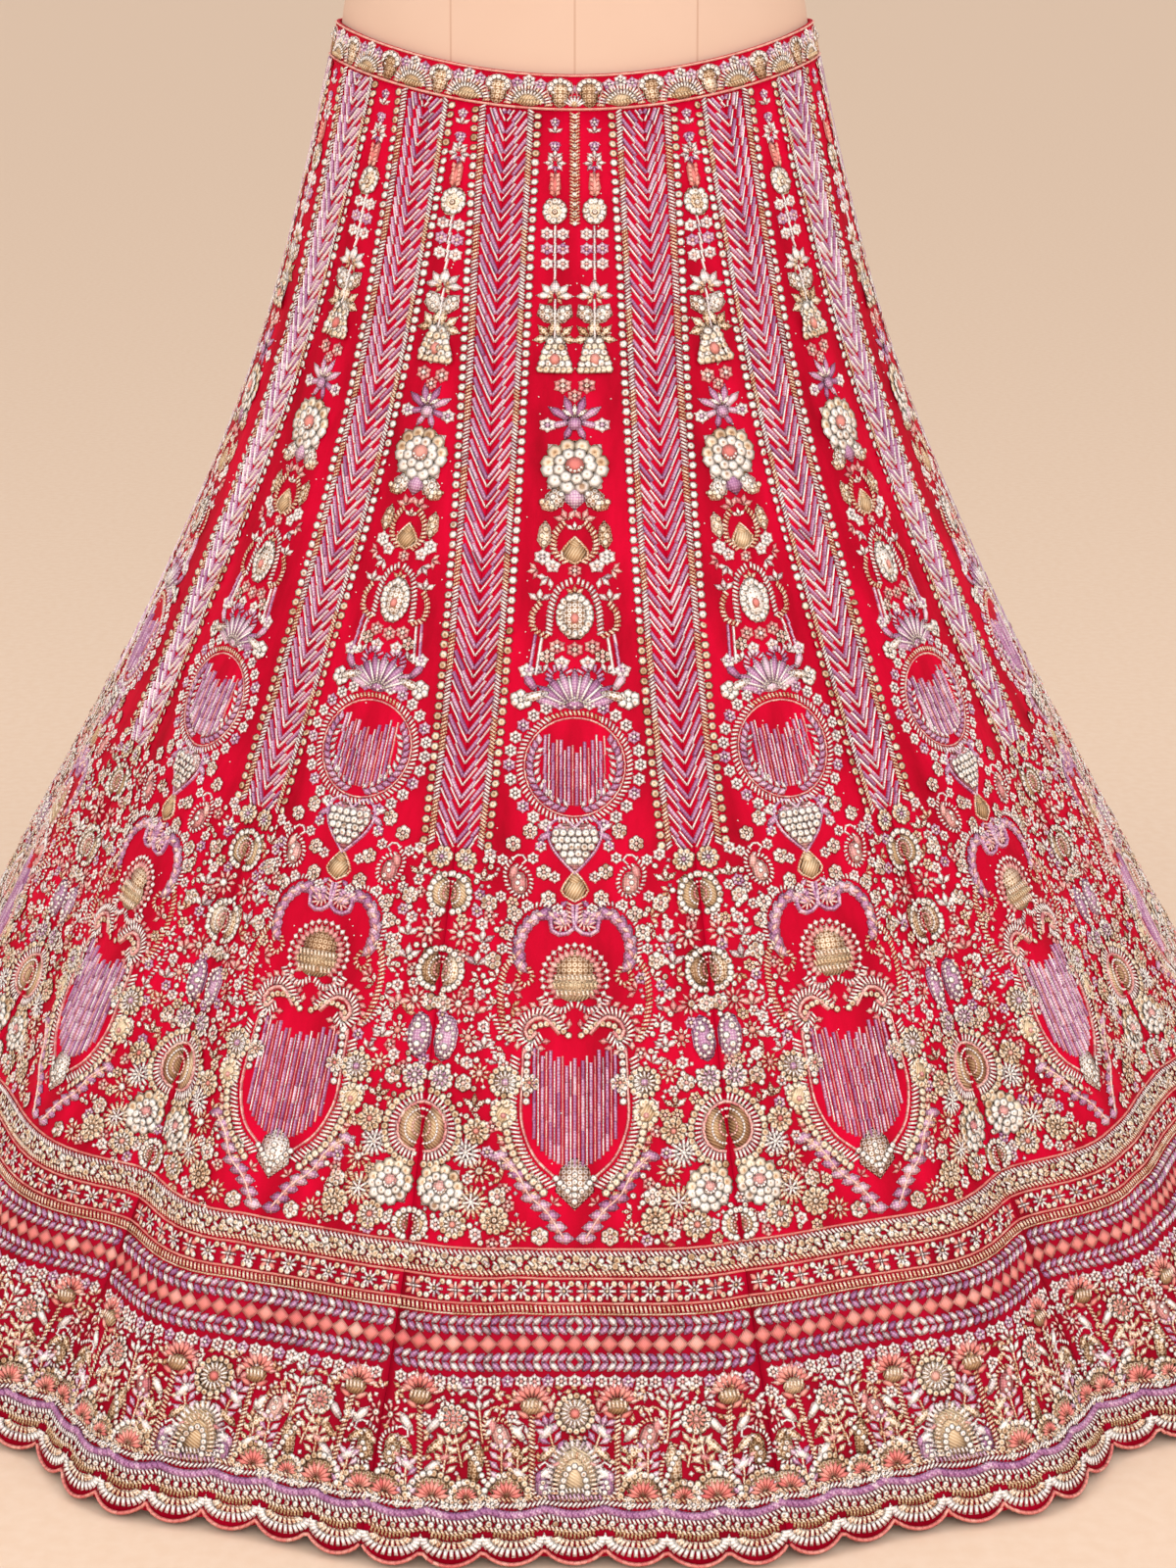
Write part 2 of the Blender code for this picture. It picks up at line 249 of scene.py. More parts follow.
def smooth_curve(x, xs, ys):
    """Smooth curve through the points (xs, ys): a cubic between each two of them."""
    xs, ys = np.asarray(xs), np.asarray(ys)
    slopes = np.gradient(ys, xs)
    i = np.clip(np.searchsorted(xs, x, side="right") - 1, 0, len(xs) - 2)
    width = xs[i + 1] - xs[i]
    t = (x - xs[i]) / width
    return ((1 + 2 * t) * (1 - t) ** 2 * ys[i] + t * (1 - t) ** 2 * width * slopes[i]
            + t * t * (3 - 2 * t) * ys[i + 1] + t * t * (t - 1) * width * slopes[i + 1])


def seam_angle(down, seam):
    """A seam's angle: it eases from its waist angle to its hem angle halfway down."""
    turn = np.clip(down / SEAMS_TURN_TO, 0, 1)
    turn = turn * turn * (3 - 2 * turn)
    start, end = all_round(SEAMS_AT_WAIST)[seam], all_round(SEAMS_AT_HEM)[seam]
    return start + (end - start) * turn


def fold_lift(down, angle):
    """Sum of bell shapes, one for each fold, that grow from their start to the hem."""
    lift = np.zeros(np.broadcast(down, angle).shape)
    for centre, height, half_width, start in FOLDS:
        away = (angle - centre + 180) % 360 - 180
        growth = np.clip((down - start) / (1 - start), 0, None) ** FOLD_GROWTH
        lift += height * growth * np.exp(-(away / half_width) ** 2)
    return lift


def crease_lift(down, angle):
    """Sum of bell shapes in both directions, one for each crease, pointing inwards."""
    lift = np.zeros(np.broadcast(down, angle).shape)
    for centre, middle, depth, half_width, half_length in CREASES:
        away = (angle - centre + 180) % 360 - 180
        lift -= depth * np.exp(-(away / half_width) ** 2 - ((down - middle) / half_length) ** 2)
    return lift


def waist_edge(angle):
    """Height of the waist edge: lowest in front, level at the sides and the back."""
    turn = np.radians(angle)
    return WAIST_HEIGHT + WAIST_RISE * np.where(np.cos(turn) > 0, np.sin(turn) ** 2, 1.0)


def round_skirt(down, angle, out):
    """Ellipse of each depth, moved outwards by out, between waist edge and hem."""
    turn, edge = np.radians(angle), waist_edge(angle)
    x = (smooth_curve(down, DOWNS, HALF_WIDTHS) + out) * np.sin(turn)
    y = -(smooth_curve(down, DOWNS, HALF_DEPTHS) + out) * np.cos(turn)
    return np.stack([x, y, edge - (edge - HEM_HEIGHT) * down + 0 * x], axis=-1)


def on_kali(kali, down, across):
    """Point of a kali's face. across runs from 0 at one seam to 1 at the next."""
    start, end = seam_angle(down, kali), seam_angle(down, kali + 1)
    angle = start + (end - start) * across
    puff = PUFF * 4 * across * (1 - across) * np.clip(down / PUFF_FULL_AT, 0, 1)
    return round_skirt(down, angle, puff + fold_lift(down, angle) + crease_lift(down, angle))


PLAN_END, PLAN_ROWS, PLAN_COLUMNS = 1.04, 105, 21     # where each kali's width is measured


def half_widths(kali):
    """Half the kali's width in mm at even depths, measured along the cloth."""
    down = np.linspace(0, PLAN_END, PLAN_ROWS)[:, None]
    points = on_kali(kali, down, np.linspace(0, 1, PLAN_COLUMNS)[None, :])
    steps = np.linalg.norm(np.diff(points, axis=1), axis=2)
    return down[:, 0] * 1000, steps.sum(axis=1) / 2 * 1000


WIDTHS = [half_widths(kali) for kali in range(len(KALIS))]


def half_width(kali, v):
    """Half the kali's width in mm, v mm down from the waist edge."""
    return np.interp(v, *WIDTHS[kali])


def from_plan(kali, w, v):
    """Point of the kali's face, w mm across from its middle and v mm down."""
    return on_kali(kali, v / 1000, 0.5 + w / (2 * half_width(kali, v)))


for kali in (0, 1, 3, 7):
    print(KALIS[kali], "is", round(2 * half_width(kali, 27)), "mm wide at the waist and",
          round(2 * half_width(kali, 990)), "mm at the hem")

# %% [markdown]
# The ground is raw silk dyed crimson. Its threads are half a millimetre
# apart, which shows as a fine bump and a slight streak of colour. Sheen gives
# the soft pale edge that silk has where it turns away from the eye.


# %% Cloth material
SHADE_FROM, SHADE_TO = -0.78, -0.84     # m down the plan: painted shade, the silk's colour darkened under the border for the light that falls off towards the floor


def crimson_silk():
    """Woven silk: two crossed waves of thread for the bump, slow noise for uneven colour, painted shade
    near the hem.
    """
    material, tree, shader = blank_material("crimson_raw_silk")
    plan = node(tree, "UVMap", {"uv_map": "plan"})
    thread_spacing = 0.9 * MM     # drawn nearly twice as coarse as it is, to show
    waves = []
    for direction in ("X", "Y"):
        waves.append(node(tree, "TexWave", {"bands_direction": direction}, Vector=(plan, "UV"),
                          Scale=1 / (thread_spacing * 20), Distortion=1.5, Detail=1.0))
    weave = node(tree, "Math", {"operation": "MAXIMUM"}, input0=(waves[0], "Fac"), input1=(waves[1], "Fac"))
    along = node(tree, "Mapping", Vector=(plan, "UV"), Scale=(1.0, 0.3, 1.0))
    slub = node(tree, "TexNoise", Scale=26.0, Detail=4.0, Roughness=0.6, Vector=(along, "Vector"))
    tint = ramp(tree, (slub, "Fac"), ((0.3, "#a0001f"), (0.5, "#c2002b"), (0.7, "#de0037")))
    depth = node(tree, "SeparateXYZ", Vector=(plan, "UV"))
    # painted shade: below the border the silk's colour is multiplied darker, standing for the light that
    # falls off towards the floor
    near_hem = node(tree, "MapRange", Value=(depth, "Y"), From_Min=SHADE_FROM, From_Max=SHADE_TO)
    hem_painted_shade = node(tree, "MixRGB", {"blend_type": "MULTIPLY"}, Fac=(near_hem, "Result"),
                  Color1=(tint, "Color"), Color2=linear("#d0d8d8"))
    bump = node(tree, "Bump", Height=(weave, "Value"), Strength=0.25, Distance=0.25 * MM)
    set_inputs(tree, shader, Base_Color=(hem_painted_shade, "Color"), Normal=(bump, "Normal"), Roughness=0.62,
               Sheen_Weight=0.02, Sheen_Roughness=0.4, Sheen_Tint=linear("#ff4060"),
               Specular_IOR_Level=0.06)
    return material


SILK = crimson_silk()

# %% [markdown]
# Each kali's cloth is a grid of points on the skirt's face. The lowest row
# follows the scallops, and the rows above it ease back to level. Solidify
# gives the grid its thickness inwards. The cut of a kali is a wedge, so its
# flat area is its mean width times its length.

# %% Kali cloth
CLOTH = 0.0016
COLUMNS, ROWS = 36, 44
SEAM_GAP = 0.0006          # share of a kali's width left free at each seam
ROW_EASE = 0.93            # rows a little closer together towards the hem
TUCK = 0.003               # m that the cloth reaches up behind the waistband
LOBE_ROUNDNESS = 0.6


def scallop_edge(across):
    """Lobes that hang down: a sine raised to a power under one is round, with sharp nicks."""
    lobe = np.abs(np.sin(np.pi * across * SCALLOPS)) ** LOBE_ROUNDNESS
    return 1 - SCALLOP_DEPTH / WAIST_HEIGHT * (1 - lobe)


def new_mesh(name, points, faces, uv_name, uv):
    """A smooth mesh of faces with equally many corners, and a UV for each point."""
    mesh = bpy.data.meshes.new(name)
    mesh.vertices.add(len(points))
    mesh.vertices.foreach_set("co", points.astype(np.float32).ravel())
    mesh.loops.add(faces.size)
    mesh.loops.foreach_set("vertex_index", faces.astype(np.int32).ravel())
    mesh.polygons.add(len(faces))
    mesh.polygons.foreach_set("loop_start", np.arange(0, faces.size, faces.shape[1], dtype=np.int32))
    mesh.update(calc_edges=True)
    mesh.uv_layers.new(name=uv_name).data.foreach_set("uv", uv[faces.ravel()].astype(np.float32).ravel())
    mesh.shade_smooth()
    return mesh


def add_piece(name, mesh, materials):
    """Links a piece, gives it its materials and rides it on the only body."""
    piece = bpy.data.objects.new(name, mesh)
    for material in materials:
        mesh.materials.append(material)
    bpy.context.scene.collection.objects.link(piece)
    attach(piece, "root")
    return piece


def silk_piece(name, points, uv, thickness):
    """Silk over a grid of points, with its thickness inwards, in place of the solid of that name."""
    rows, columns = points.shape[:2]
    k = (np.arange(rows - 1)[:, None] * columns + np.arange(columns - 1)[None, :]).ravel()
    quads = np.stack([k, k + columns, k + columns + 1, k + 1], axis=1)
    mesh = new_mesh(name + "_cloth", points.reshape(-1, 3), quads, "plan", uv.reshape(-1, 2))
    piece = add_piece(name + "_cloth", mesh, [SILK])
    wall = piece.modifiers.new("wall", "SOLIDIFY")
    wall.thickness, wall.offset = thickness, -1
    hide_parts(name)
    return piece


def make_kali(kali):
    """The cloth of one kali; the flat size it was cut to is returned."""
    across = np.linspace(SEAM_GAP, 1 - SEAM_GAP, COLUMNS + 1)[None, :]
    share = np.linspace(0, 1, ROWS + 1)[:, None] ** ROW_EASE
    top = BAND_DOWN - TUCK
    down = top + (scallop_edge(across) - top) * share
    points = on_kali(kali, down, across)
    width = 2 * half_width(kali, down * 1000) * MM
    uv = np.stack([(across - 0.5) * width, -down], axis=-1)
    piece = silk_piece(KALIS[kali], points, uv, CLOTH)
    middle = points[:, COLUMNS // 2]
    length = float(np.linalg.norm(np.diff(middle, axis=0), axis=1).sum())
    hem, waist = float(width[-1].mean()), float(width[0].mean())
    return hem, waist, length


for kali, name in enumerate(KALIS):
    hem, waist, length = make_kali(kali)
    if kali < 8:
        print(name, "is cut", round(hem, 3), "m at the hem,", round(waist, 3), "m at the waist and",
              round(length, 3), "m long")

# %% [markdown]
# The embroidery is thousands of small things: round beads, glass tubes,
# sequins, padded leaves of thread and larger padded shapes. A stitch here is
# one row of a table. It says where the stitch lies on the kali's flat plan,
# which way it points, its size, what it is and what it is made of. Motifs are
# small tables that are moved, turned and mirrored, as paper patterns are.


# %% Stitches
W, V, TURN, LONG, WIDE, HIGH, LIFT, KIND, FINISH, TONE = range(10)
QUARTER = math.pi / 2      # a quarter turn
BEAD, GRAIN, TUBE, SEQUIN, PETAL, LEAF, PAD = range(7)
SILVER, LAVENDER, GOLD, SHINE, SALMON, ROSE, BROWN, FOIL = range(8)


def stitches(w, v, turn=0.0, size=(2.0, 2.0, 1.6), kind=BEAD, finish=SILVER, lift=0.0, tone=0.5):
    """Rows of the ten columns above: places and sizes in mm, turn in radians, tone 0 to 1."""
    columns = np.broadcast_arrays(w, v, turn, *size, lift, kind, finish, tone)
    return np.stack([np.asarray(c, float).ravel() for c in columns], axis=1)


def join(*tables):
    """One table out of several."""
    return np.concatenate([t for t in tables if len(t)])


def moved(table, w=0.0, v=0.0, turn=0.0, grow=1.0):
    """The same stitches, grown, turned about the plan's origin and then shifted."""
    new = table.copy()
    new[:, W] = w + grow * (table[:, W] * math.cos(turn) - table[:, V] * math.sin(turn))
    new[:, V] = v + grow * (table[:, W] * math.sin(turn) + table[:, V] * math.cos(turn))
    new[:, TURN] += turn
    new[:, [LONG, WIDE]] *= grow
    return new


def mirrored(table):
    """The same stitches with left and right exchanged."""
    new = table.copy()
    new[:, W] *= -1
    new[:, TURN] = math.pi - new[:, TURN]
    return new


def laid(*rows):
    """Motifs at their places, in one table: rows of w, v, motif and, if it turns, its turn."""
    return join(*[moved(motif, w, v, *turn) for w, v, motif, *turn in rows])


def both(table):
    """The stitches and their mirror image."""
    return join(table, mirrored(table))


def oval(half_w, half_v, start=0.0, end=360.0, points=73):
    """Points on an ellipse. Angles are in degrees, 0 to the right and 90 down."""
    turn = np.radians(np.linspace(start, end, points))
    return np.stack([half_w * np.cos(turn), half_v * np.sin(turn)], axis=1)


def curl(points):
    """A smooth line through a few points, by the same cubics as the skirt's shape."""
    points = np.asarray(points, float)
    knots = np.arange(len(points))
    t = np.linspace(0, len(points) - 1, 24 * (len(points) - 1) + 1)
    return np.stack([smooth_curve(t, knots, column) for column in points.T], axis=1)


def along(points, step):
    """At least two even places along a line, about a step apart."""
    points = np.asarray(points, float)
    run = np.concatenate([[0], np.cumsum(np.hypot(*np.diff(points, axis=0).T))])
    at = np.linspace(0, run[-1], max(2, int(round(run[-1] / step)) + 1))
    return [np.interp(at, run, column) for column in points.T]


def line(points, step, size=(2.0, 2.0, 1.6), kind=BEAD, finish=SILVER, slant=0.0, lift=0.0, tone=0.5):
    """Stitches at even steps along a line, turned by slant from its direction."""
    w, v = along(points, step)
    way = np.arctan2(np.gradient(v), np.gradient(w))
    return stitches(w, v, way + slant, size, kind, finish, lift, tone)


def cord(points, width=2.2, finish=GOLD, step=6.0, lift=0.0, tone=0.5):
    """A thread cord: tubes end to end along a line, whose finish shows its twist."""
    w, v = along(points, step)
    length = np.hypot(np.diff(w), np.diff(v)) + 0.35 * width
    return stitches((w[1:] + w[:-1]) / 2, (v[1:] + v[:-1]) / 2, np.arctan2(np.diff(v), np.diff(w)),
                    (length, width, 0.75 * width), TUBE, finish, lift, tone)


def ribs(points, long=4.6, finish=SILVER, step=2.8, slant=1.2, tone=0.55, lift=0.0):
    """Short glass tubes that lie across a line, side by side."""
    return line(points, step, (long, 2.1, 1.7), GRAIN, finish, slant, lift, tone)


def sequins(points, finish=SHINE, step=3.9, size=4.8, tone=0.7, lift=0.4):
    """Overlapping sequins along a line."""
    return line(points, step, (size, size, 1.3), SEQUIN, finish, 0.0, lift, tone)


def pad(w, v, long, wide, finish, turn=0.0, high=1.8, lift=0.0, tone=0.5, kind=PAD):
    """One padded shape, a dome or a leaf, whose finish shows the beads that fill it."""
    return stitches(w, v, turn, (long, wide, high), kind, finish, lift, tone)


# %% [markdown]
# Seven closed shapes stand for everything that is sewn on. They have six to
# eighteen triangles each, because there are a hundred thousand of them.
# Smooth shading makes them look round. A sequin is a shallow cone and is
# tilted a little by chance, so each one catches the light in its own way.


# %% Shapes of the stitches
def cone(rim, rim_height, top):
    """A closed shape: triangles from a rim up to a top point, and a flat fan below."""
    count = len(rim)
    points = [[x, y, rim_height] for x, y in rim] + [[*top, 1.0]]
    sides = [(k, (k + 1) % count, count) for k in range(count)]
    return np.array(points), np.array(sides + [(0, k + 1, k) for k in range(1, count - 1)])


def circle_rim(sides):
    """Even points on a circle of diameter one."""
    turn = np.arange(sides) * 2 * np.pi / sides
    return np.stack([0.5 * np.cos(turn), 0.5 * np.sin(turn)], axis=1)


TUBE_POINTS = np.array([[-0.5, -0.5, 0], [0.5, -0.5, 0], [0.5, 0.5, 0], [-0.5, 0.5, 0],
                        [-0.44, 0, 1], [0.44, 0, 1]])
TUBE_SIDES = np.array([(0, 2, 1), (0, 3, 2), (0, 1, 5), (0, 5, 4), (2, 3, 4), (2, 4, 5), (1, 2, 5),
                       (3, 0, 4)])
LEAF_RIM = ((0.5, 0.0), (0.15, 0.5), (-0.28, 0.36), (-0.5, 0.0), (-0.28, -0.36), (0.15, -0.5))
GRAIN_RIM = ((0.5, 0.38), (-0.5, 0.38), (-0.5, -0.38), (0.5, -0.38))
PETAL_RIM = ((0.5, 0.0), (0.05, 0.5), (-0.5, 0.0), (0.05, -0.5))
SHAPES = {
    BEAD: cone(circle_rim(4), 0.3, (0, 0)), GRAIN: cone(GRAIN_RIM, 0.5, (0, 0)),
    TUBE: (TUBE_POINTS, TUBE_SIDES), SEQUIN: cone(circle_rim(6), 0.6, (0, 0)),
    PETAL: cone(PETAL_RIM, 0.3, (0.05, 0)), LEAF: cone(LEAF_RIM, 0.2, (0.05, 0)),
    PAD: cone(circle_rim(10), 0.2, (0, 0))}
SEQUIN_TILT, OTHER_TILT = 0.17, 0.05     # spread of the tilt, as a slope
LEVEL_FROM = 8.0                         # mm: longer stitches lie level
TONE_SPREAD = 0.15
PATTERN_SHIFTS = 40                      # a stitch's pattern starts at one of so many cells
BROAD_FROM = 12.0                        # mm: wider shapes get a crisp rim
SEQUIN_CELL = 3.6                        # mm between the middles of the sequins that fill a shape


def local_frames(place, w, v):
    """Points of a face with its directions across, down and outwards, by small steps."""
    step = 0.5
    across = place(w + step, v) - place(w - step, v)
    down = place(w, v + step) - place(w, v - step)
    across /= np.linalg.norm(across, axis=1, keepdims=True)
    out = np.cross(down, across)
    out /= np.linalg.norm(out, axis=1, keepdims=True)
    return place(w, v), across, np.cross(across, out), out


def stitch_mesh(name, points, faces, finishes, tones, uv, flat):
    """Triangles with a finish for each face, a tone for each point, and flat undersides."""
    mesh = new_mesh(name, points, faces, "thread", uv)
    mesh.polygons.foreach_set("material_index", finishes.astype(np.int32))
    mesh.attributes.new("tone", "FLOAT", "POINT").data.foreach_set("value", tones.astype(np.float32))
    mesh.attributes.new("sharp_face", "BOOLEAN", "FACE").data.foreach_set("value", flat)
    return mesh


def sew(name, table, place, seed):
    """Puts every stitch of a table on a face and joins them into one mesh."""
    chance = np.random.default_rng(seed)
    spots, across, down, out = local_frames(place, table[:, W], table[:, V])
    wobble = np.where(table[:, KIND] == SEQUIN, SEQUIN_TILT, OTHER_TILT) * (table[:, LONG] < LEVEL_FROM)
    tilt = chance.normal(0, 1, (len(table), 2)) * wobble[:, None]
    tone = np.clip(table[:, TONE] + chance.normal(0, TONE_SPREAD, len(table)), 0, 1)
    shift = np.round(chance.uniform(0, PATTERN_SHIFTS, len(table)))
    points, faces, finishes, tones, uv, flat, start = [], [], [], [], [], [], 0
    for kind, (corners, sides) in SHAPES.items():
        rows = np.flatnonzero(table[:, KIND] == kind)
        if not len(rows):
            continue
        some, count = table[rows], len(corners)
        local = corners[None] * some[:, None, LONG:HIGH + 1]
        cos, sin = np.cos(some[:, TURN])[:, None], np.sin(some[:, TURN])[:, None]
        x = local[..., 0] * cos - local[..., 1] * sin
        y = local[..., 0] * sin + local[..., 1] * cos
        z = local[..., 2] + some[:, [LIFT]] + x * tilt[rows, 0:1] + y * tilt[rows, 1:2]
        away = [distance[..., None] * direction[rows][:, None]
                for distance, direction in ((x, across), (y, down), (z, out))]
        points.append((spots[rows][:, None] + MM * (away[0] + away[1] + away[2])).reshape(-1, 3))
        # across, down and outwards is a left-handed set, so the corners are read backwards
        first = (start + np.arange(len(rows)) * count)[:, None, None]
        faces.append((sides[None, :, ::-1] + first).reshape(-1, 3))
        finishes.append(np.repeat(some[:, FINISH].astype(int), len(sides)))
        tones.append(np.repeat(tone[rows], count))
        # with a flat underside, sequins and broad shapes are not shaded round at the rim
        wide = (some[:, [LONG]] > BROAD_FROM) | (kind in (SEQUIN, PAD))
        flat.append((wide & (np.arange(len(sides)) >= count - 1)).ravel())
        # a single sequin fills one cell of its pattern, whatever its size
        plan = corners[None, :, :2] * SEQUIN_CELL if kind == SEQUIN else local[..., :2]
        uv.append((plan + shift[rows][:, None, None] * (SEQUIN_CELL, 0.0)).reshape(-1, 2))
        start += len(rows) * count
    parts = (points, faces, finishes, tones, uv, flat)
    return stitch_mesh(name, *[np.concatenate(part) for part in parts])


# %% [markdown]
# The beads are silver-lined or gold-lined glass, the cords are metal thread
# wound on a core, and the leaves are silk thread. Every stitch carries a
# number, its tone, which each material turns into a tint, so no two
# neighbours are quite alike. Each stitch also has its own small plan in
# millimetres. On it the material draws what fills a padded shape or a cord:
# beads 2 mm apart, sequins 3.6 mm apart, or the twist of a thread. It draws
# them in the bump and in the colour, where the raised parts are lighter and
# the hollows darker: partly dark gaps, partly painted shade and highlight.


# %% Bead, sequin and thread materials
def cells(tree, plan, size, randomness):
    """Round cells, size mm apart: one in the middle of each and falling to its edge."""
    dots = node(tree, "TexVoronoi", {"voronoi_dimensions": "2D"}, Vector=(plan, "UV"), Scale=1 / size,
                Randomness=randomness)
    return node(tree, "Math", {"operation": "MULTIPLY_ADD"}, input0=(dots, "Distance"), input1=-1.5,
                input2=1.0)


def rings(tree, plan, size):
    """Rows of rings, size mm apart: highest at 0.3 of that distance from each middle."""
    dots = node(tree, "TexVoronoi", {"voronoi_dimensions": "2D"}, Vector=(plan, "UV"), Scale=1 / size,
                Randomness=0.0)
    away = node(tree, "Math", {"operation": "SUBTRACT"}, input0=(dots, "Distance"), input1=0.3)
    away = node(tree, "Math", {"operation": "ABSOLUTE"}, input0=(away, "Value"))
    return node(tree, "Math", {"operation": "MULTIPLY_ADD"}, input0=(away, "Value"), input1=-3.4,
                input2=0.5)


def twist(tree, plan, size):
    """Slanted stripes, size mm apart: the sine of the way along plus 0.6 of the way across."""
    place = node(tree, "SeparateXYZ", Vector=(plan, "UV"))
    way = node(tree, "Math", {"operation": "MULTIPLY_ADD"}, input0=(place, "Y"), input1=0.6,
               input2=(place, "X"))
    angle = node(tree, "Math", {"operation": "MULTIPLY"}, input0=(way, "Value"), input1=2 * math.pi / size)
    wave = node(tree, "Math", {"operation": "SINE"}, input0=(angle, "Value"))
    return node(tree, "Math", {"operation": "MULTIPLY_ADD"}, input0=(wave, "Value"), input1=0.5, input2=0.5)


def finish_material(name, stops, metallic, roughness, pattern, relief, painted_relief_shade):
    """A finish whose colour follows each stitch's tone and, as painted shade and highlight, the height of
    the pattern on its own plan.
    """
    material, tree, shader = blank_material(name)
    plan = node(tree, "UVMap", {"uv_map": "thread"})
    height = pattern[0](tree, plan, *pattern[1:])
    tone = node(tree, "Attribute", {"attribute_name": "tone"})
    # painted shade and highlight: the colour is lighter where the drawn beads, sequins or twists stand high
    # and darker between them, partly as dark gaps
    factor = node(tree, "Math", {"operation": "MULTIPLY_ADD"}, input0=(height, "Value"), input1=painted_relief_shade,
                  input2=(tone, "Fac"))
    tint = ramp(tree, (factor, "Value"), stops)
    bump = node(tree, "Bump", Height=(height, "Value"), Strength=0.7, Distance=relief * MM)
    set_inputs(tree, shader, Base_Color=(tint, "Color"), Normal=(bump, "Normal"), Metallic=metallic,
               Roughness=roughness)
    return material


# a pattern is its function with its spacing in mm, and for cells how uneven they lie
BEADS_2, SEQUINS_4, TWIST_2, SATIN_1 = (cells, 2.0, 0.25), (rings, SEQUIN_CELL), (twist, 2.2), (twist, 1.2)
# name, colours from dark to light, metallic, roughness, pattern, relief in mm, strength of the painted
# shade and highlight on the relief
FINISH_TABLE = (
    ("silver_lined_glass_beads", ((0.3, "#b09aa8"), (0.66, "#f2eaee"), (0.9, "#ffffff")),
     0.2, 0.22, BEADS_2, 0.5, 0.45),
    ("lavender_lustre_beads", ((0.3, "#a0659a"), (0.7, "#cb98c4"), (1.0, "#f2dcee")),
     0.1, 0.34, BEADS_2, 0.5, 0.5),
    ("rose_gold_bugle_beads", ((0.3, "#b88462"), (0.66, "#eac2a2"), (1.0, "#fff4e6")),
     0.25, 0.28, TWIST_2, 0.3, 0.4),
    ("pearl_white_sequins", ((0.45, "#a88468"), (0.78, "#faf0e8"), (1.0, "#ffffff")),
     0.15, 0.2, SEQUINS_4, 0.4, 0.85),
    ("salmon_satin_thread", ((0.2, "#dc6a6c"), (0.7, "#f29a92"), (1.0, "#fcc4b8")),
     0.0, 0.5, SATIN_1, 0.2, 0.3),
    ("rose_lined_glass_beads", ((0.3, "#d07a84"), (0.7, "#eeb0ae"), (1.0, "#ffe2da")),
     0.15, 0.3, BEADS_2, 0.5, 0.4),
    ("antique_gold_thread", ((0.2, "#9c7854"), (0.7, "#d2b088"), (1.0, "#f0dcbc")),
     0.2, 0.4, TWIST_2, 0.4, 0.4),
    ("champagne_sequins", ((0.3, "#96704e"), (0.62, "#e0be9a"), (0.98, "#fff4e2")),
     0.2, 0.24, SEQUINS_4, 0.4, 0.85),
)
FINISHES = [finish_material(*row) for row in FINISH_TABLE]

# %% [markdown]
# Motifs are ordinary ones: flowers, leaves, buds, fans, drops and curls. Each
# function returns a small table round the plan's origin, with up towards the
# waist. They are built from circles, fans and a few points. A padded shape
# lies under the larger ones, so that no bare silk shows inside them.


# %% Motifs
def fan(inner, outer, start, end, rays, finish=SILVER, width=2.0, tone=0.5, kind=GRAIN, lift=0.0):
    """Tubes like the rays of a shell, between two radii and two angles in degrees."""
    turn = np.radians(np.linspace(start, end, rays))
    reach = (inner + outer) / 2
    return stitches(reach * np.cos(turn), reach * np.sin(turn), turn, (outer - inner, width, 1.5), kind,
                    finish, lift, tone)


def all_fan(inner, outer, rays, finish=SILVER, width=2.0, tone=0.5, kind=GRAIN, lift=0.0):
    """Rays all the way round."""
    return fan(inner, outer, -90, 270 - 360 / rays, rays, finish, width, tone, kind, lift)


def flower(petals, radius, petal_finish=SILVER, heart=ROSE, kind=PETAL, tone=0.5):
    """Petals evenly round a heart of one bead."""
    width = 1.5 * radius * math.sin(math.pi / petals)
    if kind == PETAL:
        ring = all_fan(0.18 * radius, radius, petals, petal_finish, width, tone, PETAL)
    else:
        reach = 0.64 * radius
        ring = all_fan(reach - 0.6 * width, reach + 0.6 * width, petals, petal_finish, 1.25 * width,
                       tone + 0.1, kind)
    return join(ring, stitches(0, 0, 0, (0.74 * radius, 0.74 * radius, 2.2), BEAD, heart, tone=0.7))


def trefoil(size, finish=SILVER, tone=0.5, spread=55):
    """Three leaves that open upwards from one point."""
    return fan(0.05 * size, size, -90 - spread, -90 + spread, 3, finish, 0.46 * size, tone, PETAL)


def star(radius, finish=SALMON, heart=SILVER):
    """Four padded rays straight and four slanted, with a bead on the crossing."""
    return join(fan(0.6, 1.08 * radius, 45, 315, 4, finish, 0.52 * radius, kind=LEAF),
                fan(1.0, 0.8 * radius, 0, 270, 4, SILVER, 2.0),
                stitches(0, 0, 0, (2.4, 2.4, 2.2), BEAD, heart))


def bud(half_w, half_v, inside=SHINE, rim=SHINE, heart=SALMON):
    """A padded oval with a rim of sequins and a small heart."""
    return join(pad(0, 0, 2 * half_w, 2 * half_v, inside, high=2.4, tone=0.75),
                sequins(oval(half_w - 1.4, half_v - 1.4, -90, 250), rim, 3.8, 5.2, 0.9),
                pad(0, 0.15 * half_v, 0.5 * half_w, 0.45 * half_v, heart, lift=1.9, high=1.6))


def acorn(half, height):
    """A bud with a pointed top: brown gold, with a cord round it."""
    edge = curl([(0, -height / 2), (0.6 * half, -0.2 * height), (half, 0.2 * height), (0, height / 2)])
    return join(pad(0, 0.1 * height, 1.7 * half, 0.75 * height, BROWN, high=2.6),
                pad(0, -0.2 * height, 0.6 * height, 1.1 * half, BROWN, QUARTER, 2.0, kind=LEAF),
                both(cord(edge, 1.8, GOLD, 4.0)))


